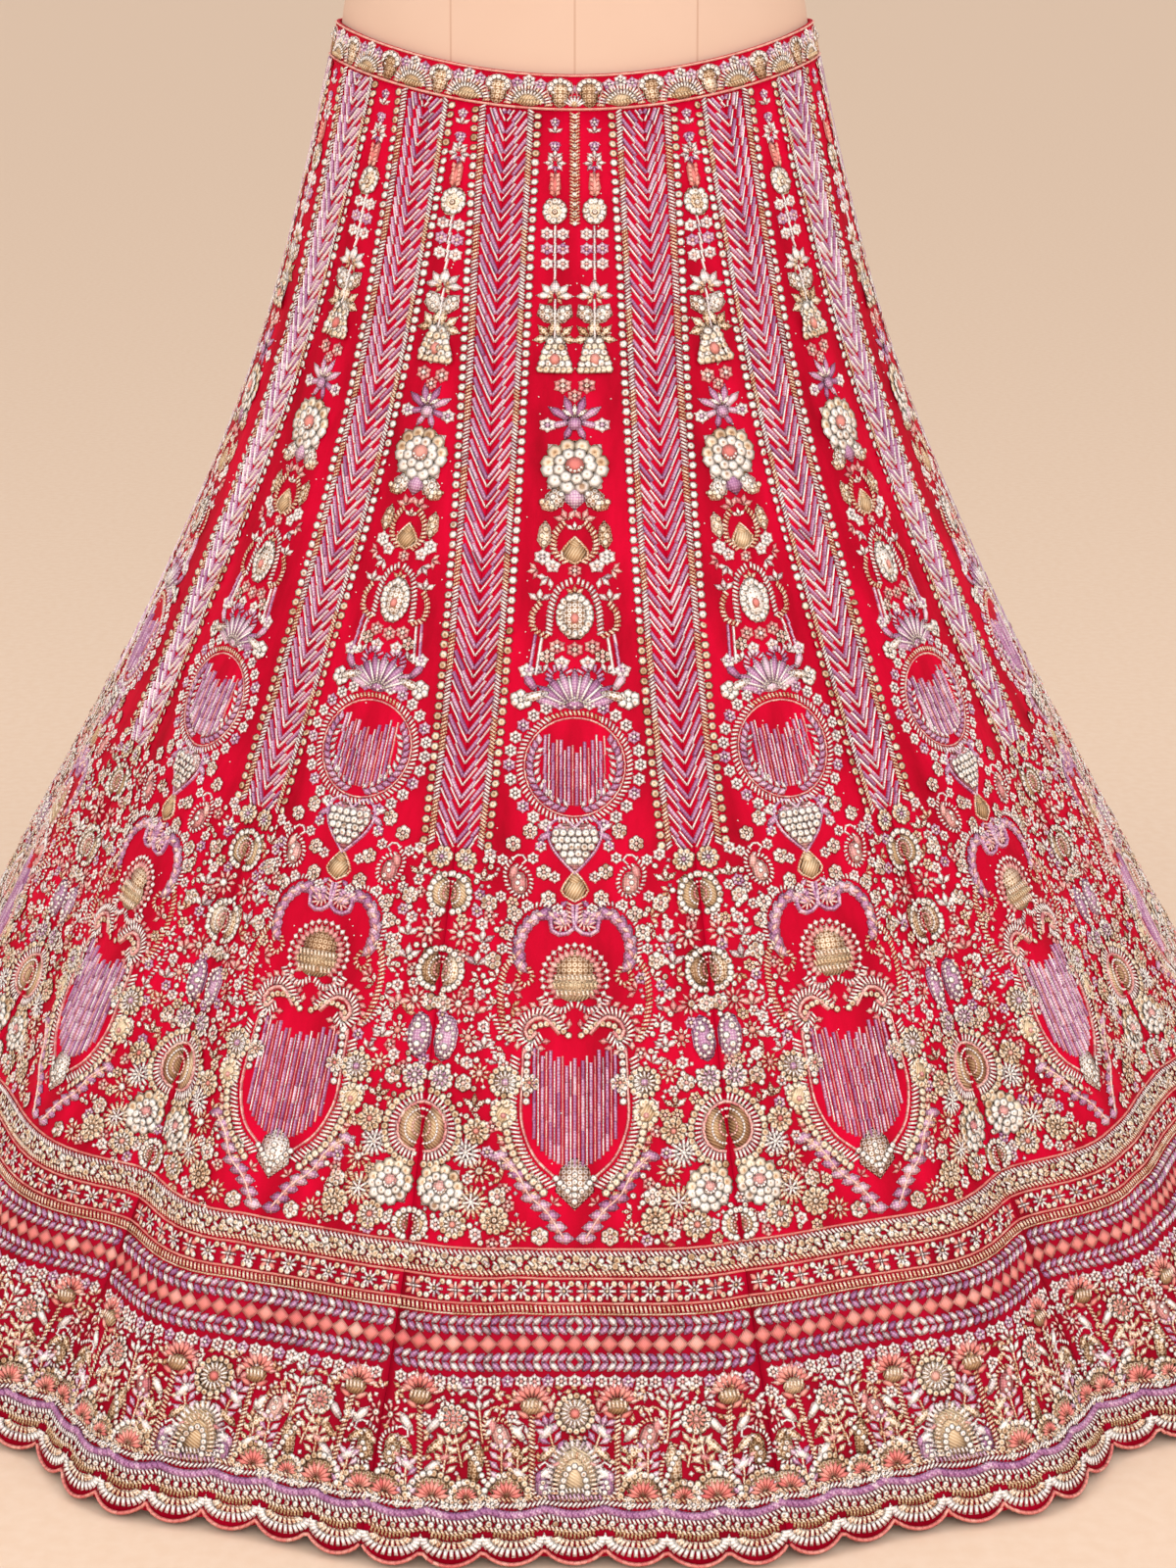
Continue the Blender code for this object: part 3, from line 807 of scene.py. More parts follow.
def peony(radius, heart=SALMON):
    """A full flower: two rings of large sequins, leaves between them, a padded heart with beads."""
    big, small = 0.52 * radius, 0.42 * radius
    leaves = fan(0.55 * radius, 1.12 * radius, 45, 315, 4, SILVER, 0.36 * radius, 0.7, LEAF)
    heart_beads = line(oval(0.2 * radius, 0.2 * radius, 20, 160), 2.1, (2.4, 2.4, 1.6), BEAD, SILVER, 0,
                       2.8, 0.7)
    return join(pad(0, 0, 1.7 * radius, 1.7 * radius, FOIL, high=1.8, tone=0.6), leaves,
                sequins(oval(0.76 * radius, 0.76 * radius, 10, 170), SHINE, 0.8 * big, big, 0.9, 0.4),
                sequins(oval(0.76 * radius, 0.76 * radius, 190, 350), FOIL, 0.8 * big, big, 0.7, 0.4),
                sequins(oval(0.46 * radius, 0.46 * radius, 0, 330), SHINE, 0.8 * small, small, 0.9, 1.2),
                pad(0, -0.04 * radius, 0.56 * radius, 0.52 * radius, heart, lift=1.8), heart_beads)


def dahlia(radius, outside=FOIL, rays=SILVER, heart=ROSE):
    """A round flower: sequins outside, a ring of tubes, a heart of beads."""
    return join(pad(0, 0, 1.7 * radius, 1.7 * radius, outside, high=1.6),
                sequins(oval(0.84 * radius, 0.84 * radius, 0, 340), outside, 4.2, 5.0),
                all_fan(0.3 * radius, 0.68 * radius, max(8, int(1.25 * radius)), rays, 1.9, 0.6, lift=1.2),
                pad(0, 0, 0.5 * radius, 0.5 * radius, heart, lift=1.2, high=1.6))


def pompon(radius, finish=GOLD, heart=SHINE):
    """Long and short rays of tubes, close together."""
    rays = max(11, int(1.5 * radius))
    return join(all_fan(0.35 * radius, radius, rays, finish, 2.6, 0.6),
                all_fan(0.1 * radius, 0.55 * radius, rays // 2, SILVER, 1.9, 0.7, lift=0.9),
                stitches(0, 0, 0, (0.4 * radius, 0.4 * radius, 2.8), BEAD, heart, 0, 0.9))


def daisy(radius, finish=ROSE, heart=FOIL, petals=9):
    """Pointed thread petals round a small padded heart."""
    return join(all_fan(0.25 * radius, radius, petals, finish, 2.9 * radius / petals, 0.6, PETAL),
                stitches(0, 0, 0, (0.6 * radius, 0.6 * radius, 2.2), SEQUIN, heart, 0.4, 0.7))


def half_ring(radius, inside=BROWN, rim=SHINE):
    """Half a disc that opens at the seam: sequins outside, thread within, beads in the middle."""
    bead = (2.3, 2.3, 1.9)
    return join(pad(-0.45 * radius, 0, 1.7 * radius, 0.9 * radius, inside, QUARTER, 1.8),
                sequins(oval(0.86 * radius, 0.86 * radius, 95, 265), rim, 3.9, 4.8, 0.85, 0.6),
                line(oval(0.42 * radius, 0.5 * radius, 100, 260), 2.2, bead, BEAD, SILVER, 0, 1.4, 0.7),
                line(oval(0.2 * radius, 0.28 * radius, 100, 260), 2.2, bead, BEAD, ROSE, 0, 1.4))


def paisley(long=28.0, body=ROSE, edge=GOLD):
    """A drop whose tip curls over: padded body, ribs round it and a curl of cord."""
    k = long / 28
    outline = curl([(3, -14), (9, -6), (8, 5), (1, 12), (-6, 9), (-8, 1), (-5, -6), (1, -9)]) * k
    tip = curl([(3, -14), (-2, -17), (-6, -13), (-3, -10)]) * k
    dots = stitches([0, 1, -1], np.array([-1.0, 3.0, 7.0]) * k, 0, (4.0, 4.0, 1.4), SEQUIN, SHINE, 2.0, 0.9)
    return join(pad(0.5 * k, 3 * k, 17 * k, 12 * k, body, QUARTER, 2.2),
                pad(3.5 * k, -5 * k, 13 * k, 6.5 * k, body, -1.9, 2.0, kind=LEAF),
                ribs(outline, 3.4 * k, edge, 2.7), cord(tip, 1.8, edge, 4), dots)


def scroll(points, inner=LAVENDER, outer=SILVER):
    """A curl of ribs with a cord on its inner side and leaves at its outer side."""
    path = curl(points)
    side = np.gradient(path, axis=0)
    side = np.stack([side[:, 1], -side[:, 0]], axis=1) / np.hypot(*side.T)[:, None]
    return join(ribs(path, 6.2, outer, 2.7, tone=0.7), cord(path - 4.0 * side, 3.4, inner, 5.0),
                line(path + 4.6 * side, 5.6, (6.8, 4.2, 1.6), PETAL, inner, -0.8))


# %% [markdown]
# A chevron band covers every seam. Each kali carries half of it along both
# edges. From the seam outwards it has slanted rows of lavender beads and
# silver beads, a cord of slanted tubes, and a row of sequins. The seam is the
# point of the V. Places are given by their distance q from the seam.

# %% Chevron bands
BAND_TOP, BAND_END = 29.0, 546.0
ARM_OUT, ARM_UP = 13.4, 27.0
CHEVRON_PITCH = 14.6
CORD_Q, SEQUIN_Q = 17.0, 22.0


def from_seam(kali, q, v):
    """w of a place that lies q mm inside the kali's right-hand seam."""
    return half_width(kali, v) - q


def seam_lean(kali, v):
    """How many mm the seam moves outwards for each mm down, from 5 mm above to 5 mm below."""
    return (half_width(kali, v + 5) - half_width(kali, v - 5)) / 10


def half_band(kali):
    """The band's half along the right-hand seam: arms, cord and sequins."""
    tables = []
    apex = np.arange(BAND_TOP + 3, BAND_END + ARM_UP, CHEVRON_PITCH)[:, None]
    arm = math.hypot(ARM_OUT, ARM_UP)
    for shift, width, finish, tone in ((0.0, 3.1, LAVENDER, 0.4), (5.6, 1.7, SILVER, 0.65)):
        # an arm is cut off where it would leave the band at its foot or its head
        foot = np.clip((apex + shift - BAND_END) / ARM_UP, 0, 1)
        head = np.clip((apex + shift - BAND_TOP) / ARM_UP, 0, 1)
        t = foot + (head - foot) * np.array([[0.25, 0.75]])
        v = apex + shift - ARM_UP * t
        w = from_seam(kali, ARM_OUT * t + 0.8, v)
        long = np.broadcast_to(arm * (head - foot) / 2, v.shape)
        keep = long > 1.5
        turn = np.arctan2(-ARM_UP, -ARM_OUT - ARM_UP * seam_lean(kali, v))
        size = (long[keep], width, 1.9)
        tables.append(stitches(w[keep], v[keep], turn[keep], size, TUBE, finish, 0, tone))
    v = np.arange(BAND_TOP, BAND_END, 2.5)
    turn = -0.5 - np.arctan(seam_lean(kali, v))
    tables.append(stitches(from_seam(kali, CORD_Q, v), v, turn, (5.4, 2.1, 1.8), GRAIN,
                           np.where(np.sin(0.11 * v) > 0.2, GOLD, SILVER), tone=0.5))
    v = np.arange(BAND_TOP + 3, BAND_END, 6.9)
    bright = np.where(np.sin(v * 0.9) > -0.2, 0.9, 0.65)
    tables.append(stitches(from_seam(kali, SEQUIN_Q, v), v, 0, (6.2, 6.2, 1.2), SEQUIN,
                           np.where(bright > 0.8, SHINE, FOIL), 0, bright))
    return join(*tables)


# %% [markdown]
# Between the bands a column of motifs climbs down each kali. It begins with a
# slender sprig and widens with the cloth. The front kali is wider at the
# waist, so it carries the slender sprig twice, side by side.

# %% Slender sprig under the waistband
def sequin_leaf(long, wide, turn, finish=SHINE):
    """A leaf filled with sequins, pointing along turn from its foot."""
    body = pad(0.5 * long, 0, long, wide, finish, kind=LEAF, high=2.0, tone=0.75)
    dots = stitches(np.array([0.28, 0.55, 0.8]) * long, [0.12 * wide, -0.12 * wide, 0.0], 0,
                    (4.0, 4.0, 1.3), SEQUIN, finish, 1.2, 0.95)
    return moved(join(body, dots), 0, 0, turn)


def slender_sprig():
    """Bow, cross, thistle, bud, paired flowers, lotus, leaves and bell on a stem."""
    bow = join(flower(5, 3.6, LAVENDER, SILVER), moved(trefoil(6.0, SILVER), 0, 8),
               moved(trefoil(5.0, LAVENDER), 0, 14, math.pi))
    cross = join(both(moved(trefoil(6.5, SILVER, 0.6), 1.2, 0, QUARTER)),
                 moved(trefoil(4.0, ROSE), 0, -1.5))
    hairs = [both(stitches(1.9, 1.5 + 3.2 * k, -1.1, (4.6, 2.9, 1.6), PETAL, SALMON, 1.0, 0.7))
             for k in range(5)]
    thistle = join(pad(0, 7.5, 17.5, 7.6, SALMON, QUARTER, 2.0, kind=LEAF), *hairs)
    pairs = [both(moved(flower(6, 4.4, (SILVER, LAVENDER)[k % 2], ROSE, BEAD), 5.4, 117.5 + 10.8 * k))
             for k in range(3)]
    lotus = both(join(moved(trefoil(11.0, SILVER, 0.6, 48), 1.5, 4, 0.75),
                      moved(trefoil(6.0, GOLD), 1, 5, 1.5)))
    rows = [sequins([(-x, y), (x, y)], (SHINE, FOIL)[k % 2], 4.2, 5.6, 0.85, 1.0)
            for k, (x, y) in enumerate(((3.0, -8), (4.6, -4), (6.2, 0), (7.4, 4), (8.8, 8), (9.6, 12)))]
    bell = join(both(moved(trefoil(12.0, FOIL, 0.7), 3.0, -11, 0.8)),
                pad(0, 0, 25, 15, SHINE, QUARTER, 1.4, tone=0.8), *rows,
                pad(0, 5, 6.5, 7.5, SALMON, lift=2.0, high=1.4))
    stem = join(cord([(0, 112), (0, 150)], 1.8, SILVER), cord([(0, 165), (0, 192)], 1.8, SILVER))
    head = laid((0, 36, bow), (0, 54, bow), (0, 66, cross), (0, 74, thistle),
                (0, 101, bud(7.4, 8.6, FOIL, SHINE, SHINE)))
    return join(head, stem, *pairs, moved(lotus, 0, 158),
                both(moved(sequin_leaf(15, 10.5, -0.95), 1.5, 181)), moved(bell, 0, 203))


# %% [markdown]
# Farther down the column grows wider: lilies, a full peony, sequin leaves and
# arches of ribs that hold a drop, then lavender wings over the medallion.

# %% Wide part of the column
def column_upper():
    """Rose flowers, lily, peony and the leaves under it."""
    lily = join(fan(2, 18, -148, -32, 4, LAVENDER, 5.0, 0.5, LEAF),
                fan(2, 14, 15, 165, 4, LAVENDER, 4.4, 0.4, LEAF),
                both(moved(flower(6, 4.8, SILVER, LAVENDER, BEAD), 15, 3)),
                moved(trefoil(8, SHINE, 0.7), 0, -3, 0, 1.1),
                pad(0, 2, 8, 8, LAVENDER, lift=1.0))
    leaves = ((6, 298, sequin_leaf(16, 12, 1.0)), (9, 312, sequin_leaf(12, 8, -0.4, FOIL)),
              (4, 320, trefoil(8, ROSE), 0.4))
    under = join(pad(0, 303, 17, 13, LAVENDER, QUARTER, 2.0, kind=LEAF),
                 *[both(laid(row)) for row in leaves])
    return join(both(moved(flower(6, 5.6, ROSE, SHINE), 6.6, 226)),
                moved(flower(6, 4.6, ROSE, SHINE), 0, 233),
                moved(lily, 0, 251), moved(peony(19), 0, 283), under)


def column_lower():
    """Arches with a small bud, brackets with a drop, flowers and lavender wings."""
    arch = both(join(ribs(curl([(5, 349), (11, 342), (11, 331), (6, 322)]), 4.2, GOLD),
                     laid((16.5, 322, sequin_leaf(18, 8.5, QUARTER, FOIL)),
                          (17.5, 346, flower(6, 5.0, SILVER, SILVER, BEAD)),
                          (12, 352, flower(5, 4.2, SILVER, ROSE, BEAD)),
                          (14, 360, trefoil(7.5, SILVER), 2.4), (20, 355, trefoil(6.5, ROSE), 1.8))))
    small_bud = laid((0, 341, acorn(7.5, 18)), (0, 327, trefoil(6, SHINE, 0.8)),
                     (0, 355, flower(6, 4.4, ROSE, SHINE)))
    bracket = both(join(ribs(curl([(2, 362), (9, 368), (13, 382), (14, 398)]), 4.2, SILVER),
                        ribs(curl([(15, 400), (22, 396), (23, 386), (19, 378)]), 4.0, GOLD),
                        moved(trefoil(8, SILVER), 19, 376), cord([(18, 402), (21, 426)], 2.0, SILVER),
                        cord([(21.5, 400), (24.5, 424)], 2.0, LAVENDER)))
    pairs = ((9.5, 407, flower(6, 5.0, ROSE, SHINE)), (15, 414, flower(6, 5.2, SHINE, ROSE)),
             (7, 418, flower(5, 4.2, SILVER, ROSE, BEAD)))
    blooms = join(moved(flower(6, 5.2, ROSE, SHINE), 0, 409), *[both(laid(row)) for row in pairs])
    crown = join(fan(3, 25, -166, -14, 9, LAVENDER, 6.4, 0.5, LEAF),
                 fan(5, 20, -157, -23, 8, SILVER, 1.9, 0.5, lift=1.2),
                 both(ribs(curl([(3, -24), (8, -27), (13, -24), (14, -18)]), 4.4, LAVENDER, 2.8)),
                 pad(0, -3, 15, 8, LAVENDER))
    feathers = join(pad(21, 441, 17, 5.6, SHINE, 0.3, 2.0, 0.8, 0.8, LEAF),
                    pad(24, 432, 13, 5.6, LAVENDER, -0.9, kind=LEAF),
                    laid((29, 444, flower(6, 6.2, SHINE, SHINE, SEQUIN, 0.9)),
                         (26, 424, flower(5, 4.4, SILVER, LAVENDER, BEAD)),
                         (17, 425, trefoil(7, SILVER), 0.6)))
    wing = join(moved(crown, 0, 448), both(feathers))
    drop = laid((0, 386, bud(9.6, 14.2, SHINE, SHINE, SALMON)), (0, 371, trefoil(6, GOLD)))
    return join(arch, small_bud, bracket, drop, blooms, wing)


def spread_out(table, wide, fuller):
    """The stitches moved apart sideways from a column's middle, and each one made fuller."""
    new = table.copy()
    new[:, W] *= wide
    new[:, [LONG, WIDE]] *= fuller
    return new


# %% [markdown]
# The medallions show bare silk behind hanging rows of small beads with
# uneven tops, like rain. A rope of tubes and a wreath of small flowers frame
# the round one. Curls, leaves and sequins frame the tall one below it.

# %% Medallions
ROUND_V, ROUND_RADIUS = 488.0, 36.2
WREATH_RADIUS, WREATH_FLOWERS = 43.2, 28
TALL_V, TALL_HALF, TALL_HEIGHT = 709.0, 27.0, 84.0
RAIN_PITCH = 2.6


def rain(half_w, top, bottom_of):
    """Hanging rows of beads. Their tops rise and fall, their ends follow a curve."""
    rows = []
    for k, w in enumerate(np.arange(-half_w, half_w + 0.1, RAIN_PITCH)):
        start = top + 9.0 * abs(math.sin(2.1 * k + 0.6)) + 8.0 * math.cos(0.5 * math.pi * w / half_w) ** 2
        wide, finish = ((2.5, LAVENDER), (1.5, SILVER), (2.5, LAVENDER), (1.5, ROSE))[k % 4]
        rows.append(cord([(w, start), (w, bottom_of(w))], wide, finish, 11.0, tone=0.4))
    return join(*rows)


def round_medallion():
    """Rain of beads in a rope ring, with leaves inside it and flowers round it."""
    radius = ROUND_RADIUS
    ring = join(ribs(oval(radius, radius, -60, 240), 4.8, SILVER, 2.9),
                ribs(oval(radius, radius, 243, 297), 3.6, GOLD, 2.9),
                cord(oval(radius - 3.2, radius - 3.2), 1.5, ROSE, 6.0))
    leaves = both(join(line(oval(29.6, 29.6, -38, 74), 4.8, (8.6, 4.6, 1.8), PETAL, LAVENDER, 0.7),
                       line(oval(25.0, 25.0, -26, 76), 5.2, (7.4, 3.6, 1.6), PETAL, SILVER, -0.7),
                       sequins([(20, 10), (16, 17)], SHINE, 6.0, 3.6)))
    wreath = [moved(flower(6, 4.5, (SILVER, SILVER, LAVENDER)[k % 3], SILVER, BEAD),
                    WREATH_RADIUS * math.cos(a), WREATH_RADIUS * math.sin(a))
              for k, a in enumerate(np.arange(WREATH_FLOWERS) * 2 * math.pi / WREATH_FLOWERS)]
    drops = rain(19.5, -26.0, lambda w: math.sqrt(max(0.0, 27.0 ** 2 - w * w)) - 1.5)
    return moved(join(ring, leaves, *wreath, drops), 0, ROUND_V)


def tall_medallion():
    """Rain of beads in an oval of sequins and tubes, shoulders above and a point below."""
    drops = rain(TALL_HALF - 1, -0.49 * TALL_HEIGHT,
                 lambda w: 0.47 * TALL_HEIGHT * math.sqrt(1 - (w / 31.0) ** 2))
    sides = both(join(cord(curl([(33, -34), (34, -10), (34, 12), (26, 33), (12, 47)]), 2.2, ROSE, 5.0),
                      sequins(curl([(30, -36), (31, -20), (31, -2)]), SHINE, 5.0, 5.4, 0.8),
                      ribs(curl([(38, -30), (40, -8), (39, 14), (30, 37), (15, 52)]), 7.0, SILVER, 2.8,
                           tone=0.7),
                      sequins(curl([(43.5, 0), (43, 20), (35, 39), (20, 56)]), FOIL, 4.4, 6.0, 0.8),
                      line(curl([(48, 8), (47, 24), (39, 43), (26, 57)]), 7.0, (7.5, 4.6, 1.6), PETAL,
                           GOLD, 0.5)))
    point = join(pad(0, 50, 34, 25, SHINE, QUARTER, 2.4, tone=0.8, kind=LEAF),
                 both(sequins([(2, 58), (12, 47)], SHINE, 4.0, 4.8, 0.9, 1.0)),
                 sequins([(0, 45), (0, 62)], SHINE, 4.6, 4.8, 0.9, 1.6))
    hook = scroll([(7, -49), (18, -60), (31, -57), (36, -45), (28, -38), (22, -44)], ROSE, SILVER)
    inner = sequins(curl([(4, -45), (14, -52), (26, -50), (29, -43)]), FOIL, 4.0, 5.0, 0.7)
    shoulders = both(join(hook, inner, moved(dahlia(10.5, FOIL, SILVER, LAVENDER), 44.5, -14),
                          moved(dahlia(6.2, SHINE, GOLD, SALMON), 29, -14, 0, 0.9),
                          laid((45.5, 6, bud(8.0, 9.0, BROWN, FOIL, ROSE)),
                               (49, -26, trefoil(8, SILVER), 0.5),
                               (42, 24, trefoil(8, ROSE), 2.6),
                               (50, 1, flower(6, 4.6, SILVER, ROSE, BEAD)))))
    return moved(join(drops, sides, point, shoulders), 0, TALL_V)


# %% [markdown]
# Between the two medallions hangs a heart of sequins with sprays of leaves, a
# paisley on each side, an acorn with two scrolls, and a spade of gold thread.

# %% Motifs between the medallions
def heart_of_sequins():
    """Two padded lobes and a point in a rose edge, covered with white sequins."""
    edge = curl([(0, -9), (7, -15), (15, -9), (12, 3), (0, 17)])
    rows = [sequins([(-x, y), (x, y)], SHINE, 3.9, 5.3, 0.85, 1.6)
            for x, y in ((10.5, -6), (11, -2), (9, 2), (6, 6), (3, 10))]
    return join(both(pad(6.2, -4.5, 14, 15, ROSE, high=1.8)),
                pad(0, 3, 30, 19, ROSE, QUARTER, 1.8, kind=LEAF), *rows,
                both(cord(edge, 2.2, LAVENDER, 4.0)))


def spade():
    """A spade of gold thread in a wreath of rose leaves and silver beads."""
    rows = [ribs([(-x, y), (x, y)], 4.6, finish, 2.6, 1.3, 0.75, 1.8)
            for x, y, finish in ((11, 10, GOLD), (13, 5, BROWN), (12, 0, GOLD))]
    return join(pad(0, 4, 31, 23, BROWN, high=2.4, tone=0.8),
                pad(0, -5, 28, 26, FOIL, -QUARTER, 2.6, tone=0.55, kind=LEAF), *rows,
                line(oval(16.0, 16.5, -225, 45), 3.6, (8.4, 4.6, 1.7), PETAL, ROSE, QUARTER),
                line(oval(21.0, 21.5, -222, 42), 4.8, (4.6, 4.6, 2.2), BEAD, SILVER, tone=0.7),
                both(ribs(curl([(2, 17), (8, 21), (16, 19), (22, 13)]), 5.0, SILVER, 2.7)))


def between_medallions():
    """Heart, sprays, paisleys, acorn with scrolls, and the spade."""
    leaves = join(pad(4, 2, 13, 5, LAVENDER, 0.5, kind=LEAF), pad(8, 8, 10, 4.6, LAVENDER, 1.0, kind=LEAF),
                  pad(6, -4, 9, 4, SILVER, -0.5, kind=LEAF),
                  moved(flower(5, 3.8, SILVER, ROSE, BEAD), 14, 1))
    small, tiny = flower(6, 5.2, SHINE, ROSE, SEQUIN), flower(6, 4.0, SILVER, ROSE, BEAD)
    sweep = curl([(8, 590), (19, 585), (30, 592), (36, 605), (35, 619)])
    curls = join(moved(paisley(27, ROSE, SILVER), 36, 563, 0.1),
                 line(sweep, 7.0, (14.0, 7.6, 2.2), LEAF, LAVENDER, 0.62),
                 line(sweep, 8.2, (8.0, 3.6, 1.9), PETAL, ROSE, -0.5, 1.0, 0.7),
                 ribs(curl([(11, 582), (23, 579), (36, 587), (42, 601), (41, 617)]), 3.8, SILVER, 2.9),
                 ribs(curl([(34, 621), (37, 628), (32, 632), (27, 627), (30, 621)]), 3.8, GOLD, 2.8),
                 ribs(curl([(37, 612), (45, 622), (48, 640), (46, 656), (41, 668)]), 5.0, GOLD, 2.8),
                 ribs(curl([(41, 668), (48, 662), (53, 652), (57, 660), (52, 676)]), 4.0, SILVER, 2.8),
                 laid((50, 628, trefoil(8, SHINE, 0.7), 1.0), (40, 636, trefoil(8, ROSE), -1.2),
                      (52, 645, trefoil(7, SILVER), 1.4)))
    scatter = laid((29, 531, small), (40, 540, small), (22, 541, tiny), (20, 558, small), (13, 561, tiny),
                   (17, 575, small), (27, 549, tiny), (39, 586, small), (31, 580, tiny), (48, 575, tiny),
                   (44, 598, small), (11, 582, tiny), (47, 609, tiny), (47, 551, tiny))
    hooks = both(scroll([(2.5, 579), (4, 592), (11, 594), (11, 586)], LAVENDER, ROSE))
    return join(moved(heart_of_sequins(), 0, 539, 0, 1.16), both(moved(leaves, 15, 532)),
                both(join(curls, scatter)), moved(spade(), 0, 627), moved(acorn(8.5, 20), 0, 567), hooks)


def leafy_point():
    """Lavender leaves that hang in a V below the tall medallion."""
    path = curl([(48, 742), (37, 752), (29, 767), (18, 777), (7, 794)])
    return both(join(line(path, 8.5, (14.5, 7.8, 2.0), LEAF, LAVENDER, 0.95),
                     line(path, 7.0, (8.5, 5.4, 1.7), LEAF, ROSE, -0.8),
                     cord(path, 1.8, ROSE, 6.0, 1.2, 0.8),
                     ribs(curl([(33, 742), (39, 735), (46, 739), (44, 748), (38, 746)]), 3.8, GOLD, 2.8),
                     moved(trefoil(7, SHINE), 27, 757, -0.9), moved(trefoil(6, ROSE), 14, 772, -0.8)))


# %% [markdown]
# Below the end of each band the flowers grow dense on both sides of the seam.
# Their places are given from the seam. The gaps that remain are filled with
# small flowers and then with single sequins, where a coarse map of the plan
# shows that nothing lies yet.

# %% Flowers along the seams
def seam_garden(kali):
    """Large motifs beside the right-hand seam, from the band's end to the border."""
    cluster = join(pad(0, 0, 28, 15, LAVENDER, QUARTER, 2.6),
                   line(oval(5.5, 11.5), 3.4, (3.4, 3.4, 2.0), BEAD, SILVER, 0, 1.2, 0.8),
                   stitches([-2, 3, 0], [-6, 0, 6], 0, (4.8, 4.8, 1.4), SEQUIN, SHINE, 2.6, 0.95))
    rosette = join(sequins(oval(24, 24, 92, 268), FOIL, 4.3, 5.2),
                   ribs(oval(19.4, 19.4, 93, 267), 6.0, SILVER, 2.8, QUARTER),
                   pad(-7.5, 0, 30, 14, BROWN, QUARTER, 2.2),
                   cord(oval(15.4, 15.8, 92, 268), 2.6, ROSE, 4.6),
                   line(oval(10.0, 11.0, 95, 265), 2.3, (2.6, 2.2, 1.9), BEAD, SILVER, 0, 1.6, 0.8),
                   line(oval(5.0, 6.0, 95, 265), 2.3, (2.4, 2.2, 1.9), BEAD, ROSE, 0, 1.8, 0.7))
    six, beads = flower(6, 5.6, SHINE, ROSE, SEQUIN), flower(6, 4.3, SILVER, ROSE, BEAD)
    # each row: q from the seam, v and the motif
    places = (
        (8.5, 553, dahlia(6.4, FOIL, SILVER, LAVENDER)), (24, 548, beads),
        (1.2, 576, half_ring(14.5, BROWN, SHINE)), (22, 566, trefoil(9, SHINE, 0.7)), (27, 580, six),
        (24, 594, beads), (11, 602, daisy(9.5, ROSE, SHINE)), (26, 606, trefoil(9, SILVER)),
        (1.2, 626, half_ring(15.5, FOIL, SHINE)), (24, 621, trefoil(10, SILVER)), (34, 617, six),
        (15, 647, daisy(8.4, ROSE, SHINE, 10)), (28, 639, beads), (27, 652, trefoil(9, ROSE)),
        (4.5, 648, six), (9, 670, cluster), (24, 668, daisy(7.0, SHINE, SALMON)), (33, 660, beads),
        (35, 674, trefoil(9, SILVER)), (25, 684, beads), (9, 696, dahlia(7.6, SHINE, LAVENDER, SILVER)),
        (24, 697, six), (34, 690, daisy(7, GOLD, ROSE)), (1.0, 728, rosette), (33, 712, trefoil(9, SHINE)),
        (36, 727, dahlia(7.6, FOIL, GOLD, SALMON)), (31, 741, pompon(9.5, SILVER)),
        (17, 765, peony(15.5, ROSE)), (41, 752, daisy(9, GOLD, SHINE, 11)),
        (2.0, 790, half_ring(10, BROWN, SHINE)), (38, 772, pompon(10.5, GOLD)), (17, 788, beads),
        (28, 787, dahlia(8.4, FOIL, SILVER, SALMON)), (54, 768, six),
        (54, 783, dahlia(8.6, FOIL, GOLD, SHINE)), (70, 790, daisy(8, GOLD, SHINE, 10)),
        (43, 792, beads), (84, 793, six))
    return laid(*[(from_seam(kali, q, v), v, motif) for q, v, motif in places])


CELL = 2.0                        # mm, side of a square in the map of what is covered
MAP_MIDDLE = 200.0                # mm from the map's left edge to the kali's middle
MAP_ROWS, MAP_COLUMNS = 200, 540  # squares across the kali and down it


def covered_map(table, reach):
    """True where a stitch lies within reach of a square's middle, on the kali's plan."""
    taken = np.zeros((MAP_ROWS, MAP_COLUMNS), bool)
    row = ((table[:, W] + MAP_MIDDLE) / CELL).astype(int)
    column = (table[:, V] / CELL).astype(int)
    half = np.round(np.maximum(table[:, LONG], table[:, WIDE]) / 2)
    for size in np.unique(half):
        at = half == size
        spread = int((reach + 0.6 * size) / CELL)
        for dw in range(-spread, spread + 1):
            for dv in range(-spread, spread + 1):
                if dw * dw + dv * dv <= spread * spread:
                    taken[np.clip(row[at] + dw, 0, MAP_ROWS - 1),
                          np.clip(column[at] + dv, 0, MAP_COLUMNS - 1)] = True
    return taken


def fill_gaps(table, w, v, motifs, reach, spacing, seed):
    """Tries each place in turn and puts a motif where the map is still free."""
    taken, added = covered_map(table, reach), [table]
    turns = np.random.default_rng(seed).uniform(0, 2 * math.pi, len(w))
    room = int(spacing / CELL)
    for k in range(len(w)):
        row, column = int((w[k] + MAP_MIDDLE) / CELL), int(v[k] / CELL)
        if not taken[row, column]:
            added.append(moved(motifs[k % len(motifs)], w[k], v[k], turns[k]))
            taken[row - room:row + room + 1, column - room:column + room + 1] = True
    return join(*added)


ROUND_CLEAR, TALL_CLEAR_W, TALL_CLEAR_V = 48.0, 36.0, 50.0     # mm kept free round the medallions


def bare_silk(w, v):
    """True where the silk stays bare: in the medallions and beside the column."""
    w = np.abs(w)
    in_round = np.hypot(w, v - ROUND_V) < ROUND_CLEAR
    in_tall = (w / TALL_CLEAR_W) ** 2 + ((v - TALL_V) / TALL_CLEAR_V) ** 2 < 1
    # a wedge down to the border, and a box beside the spade
    below = (v > 735) & (w < (800 - v) * 0.75)
    above = (v > 596) & (v < 665) & (w < 38)
    return in_round | in_tall | below | above


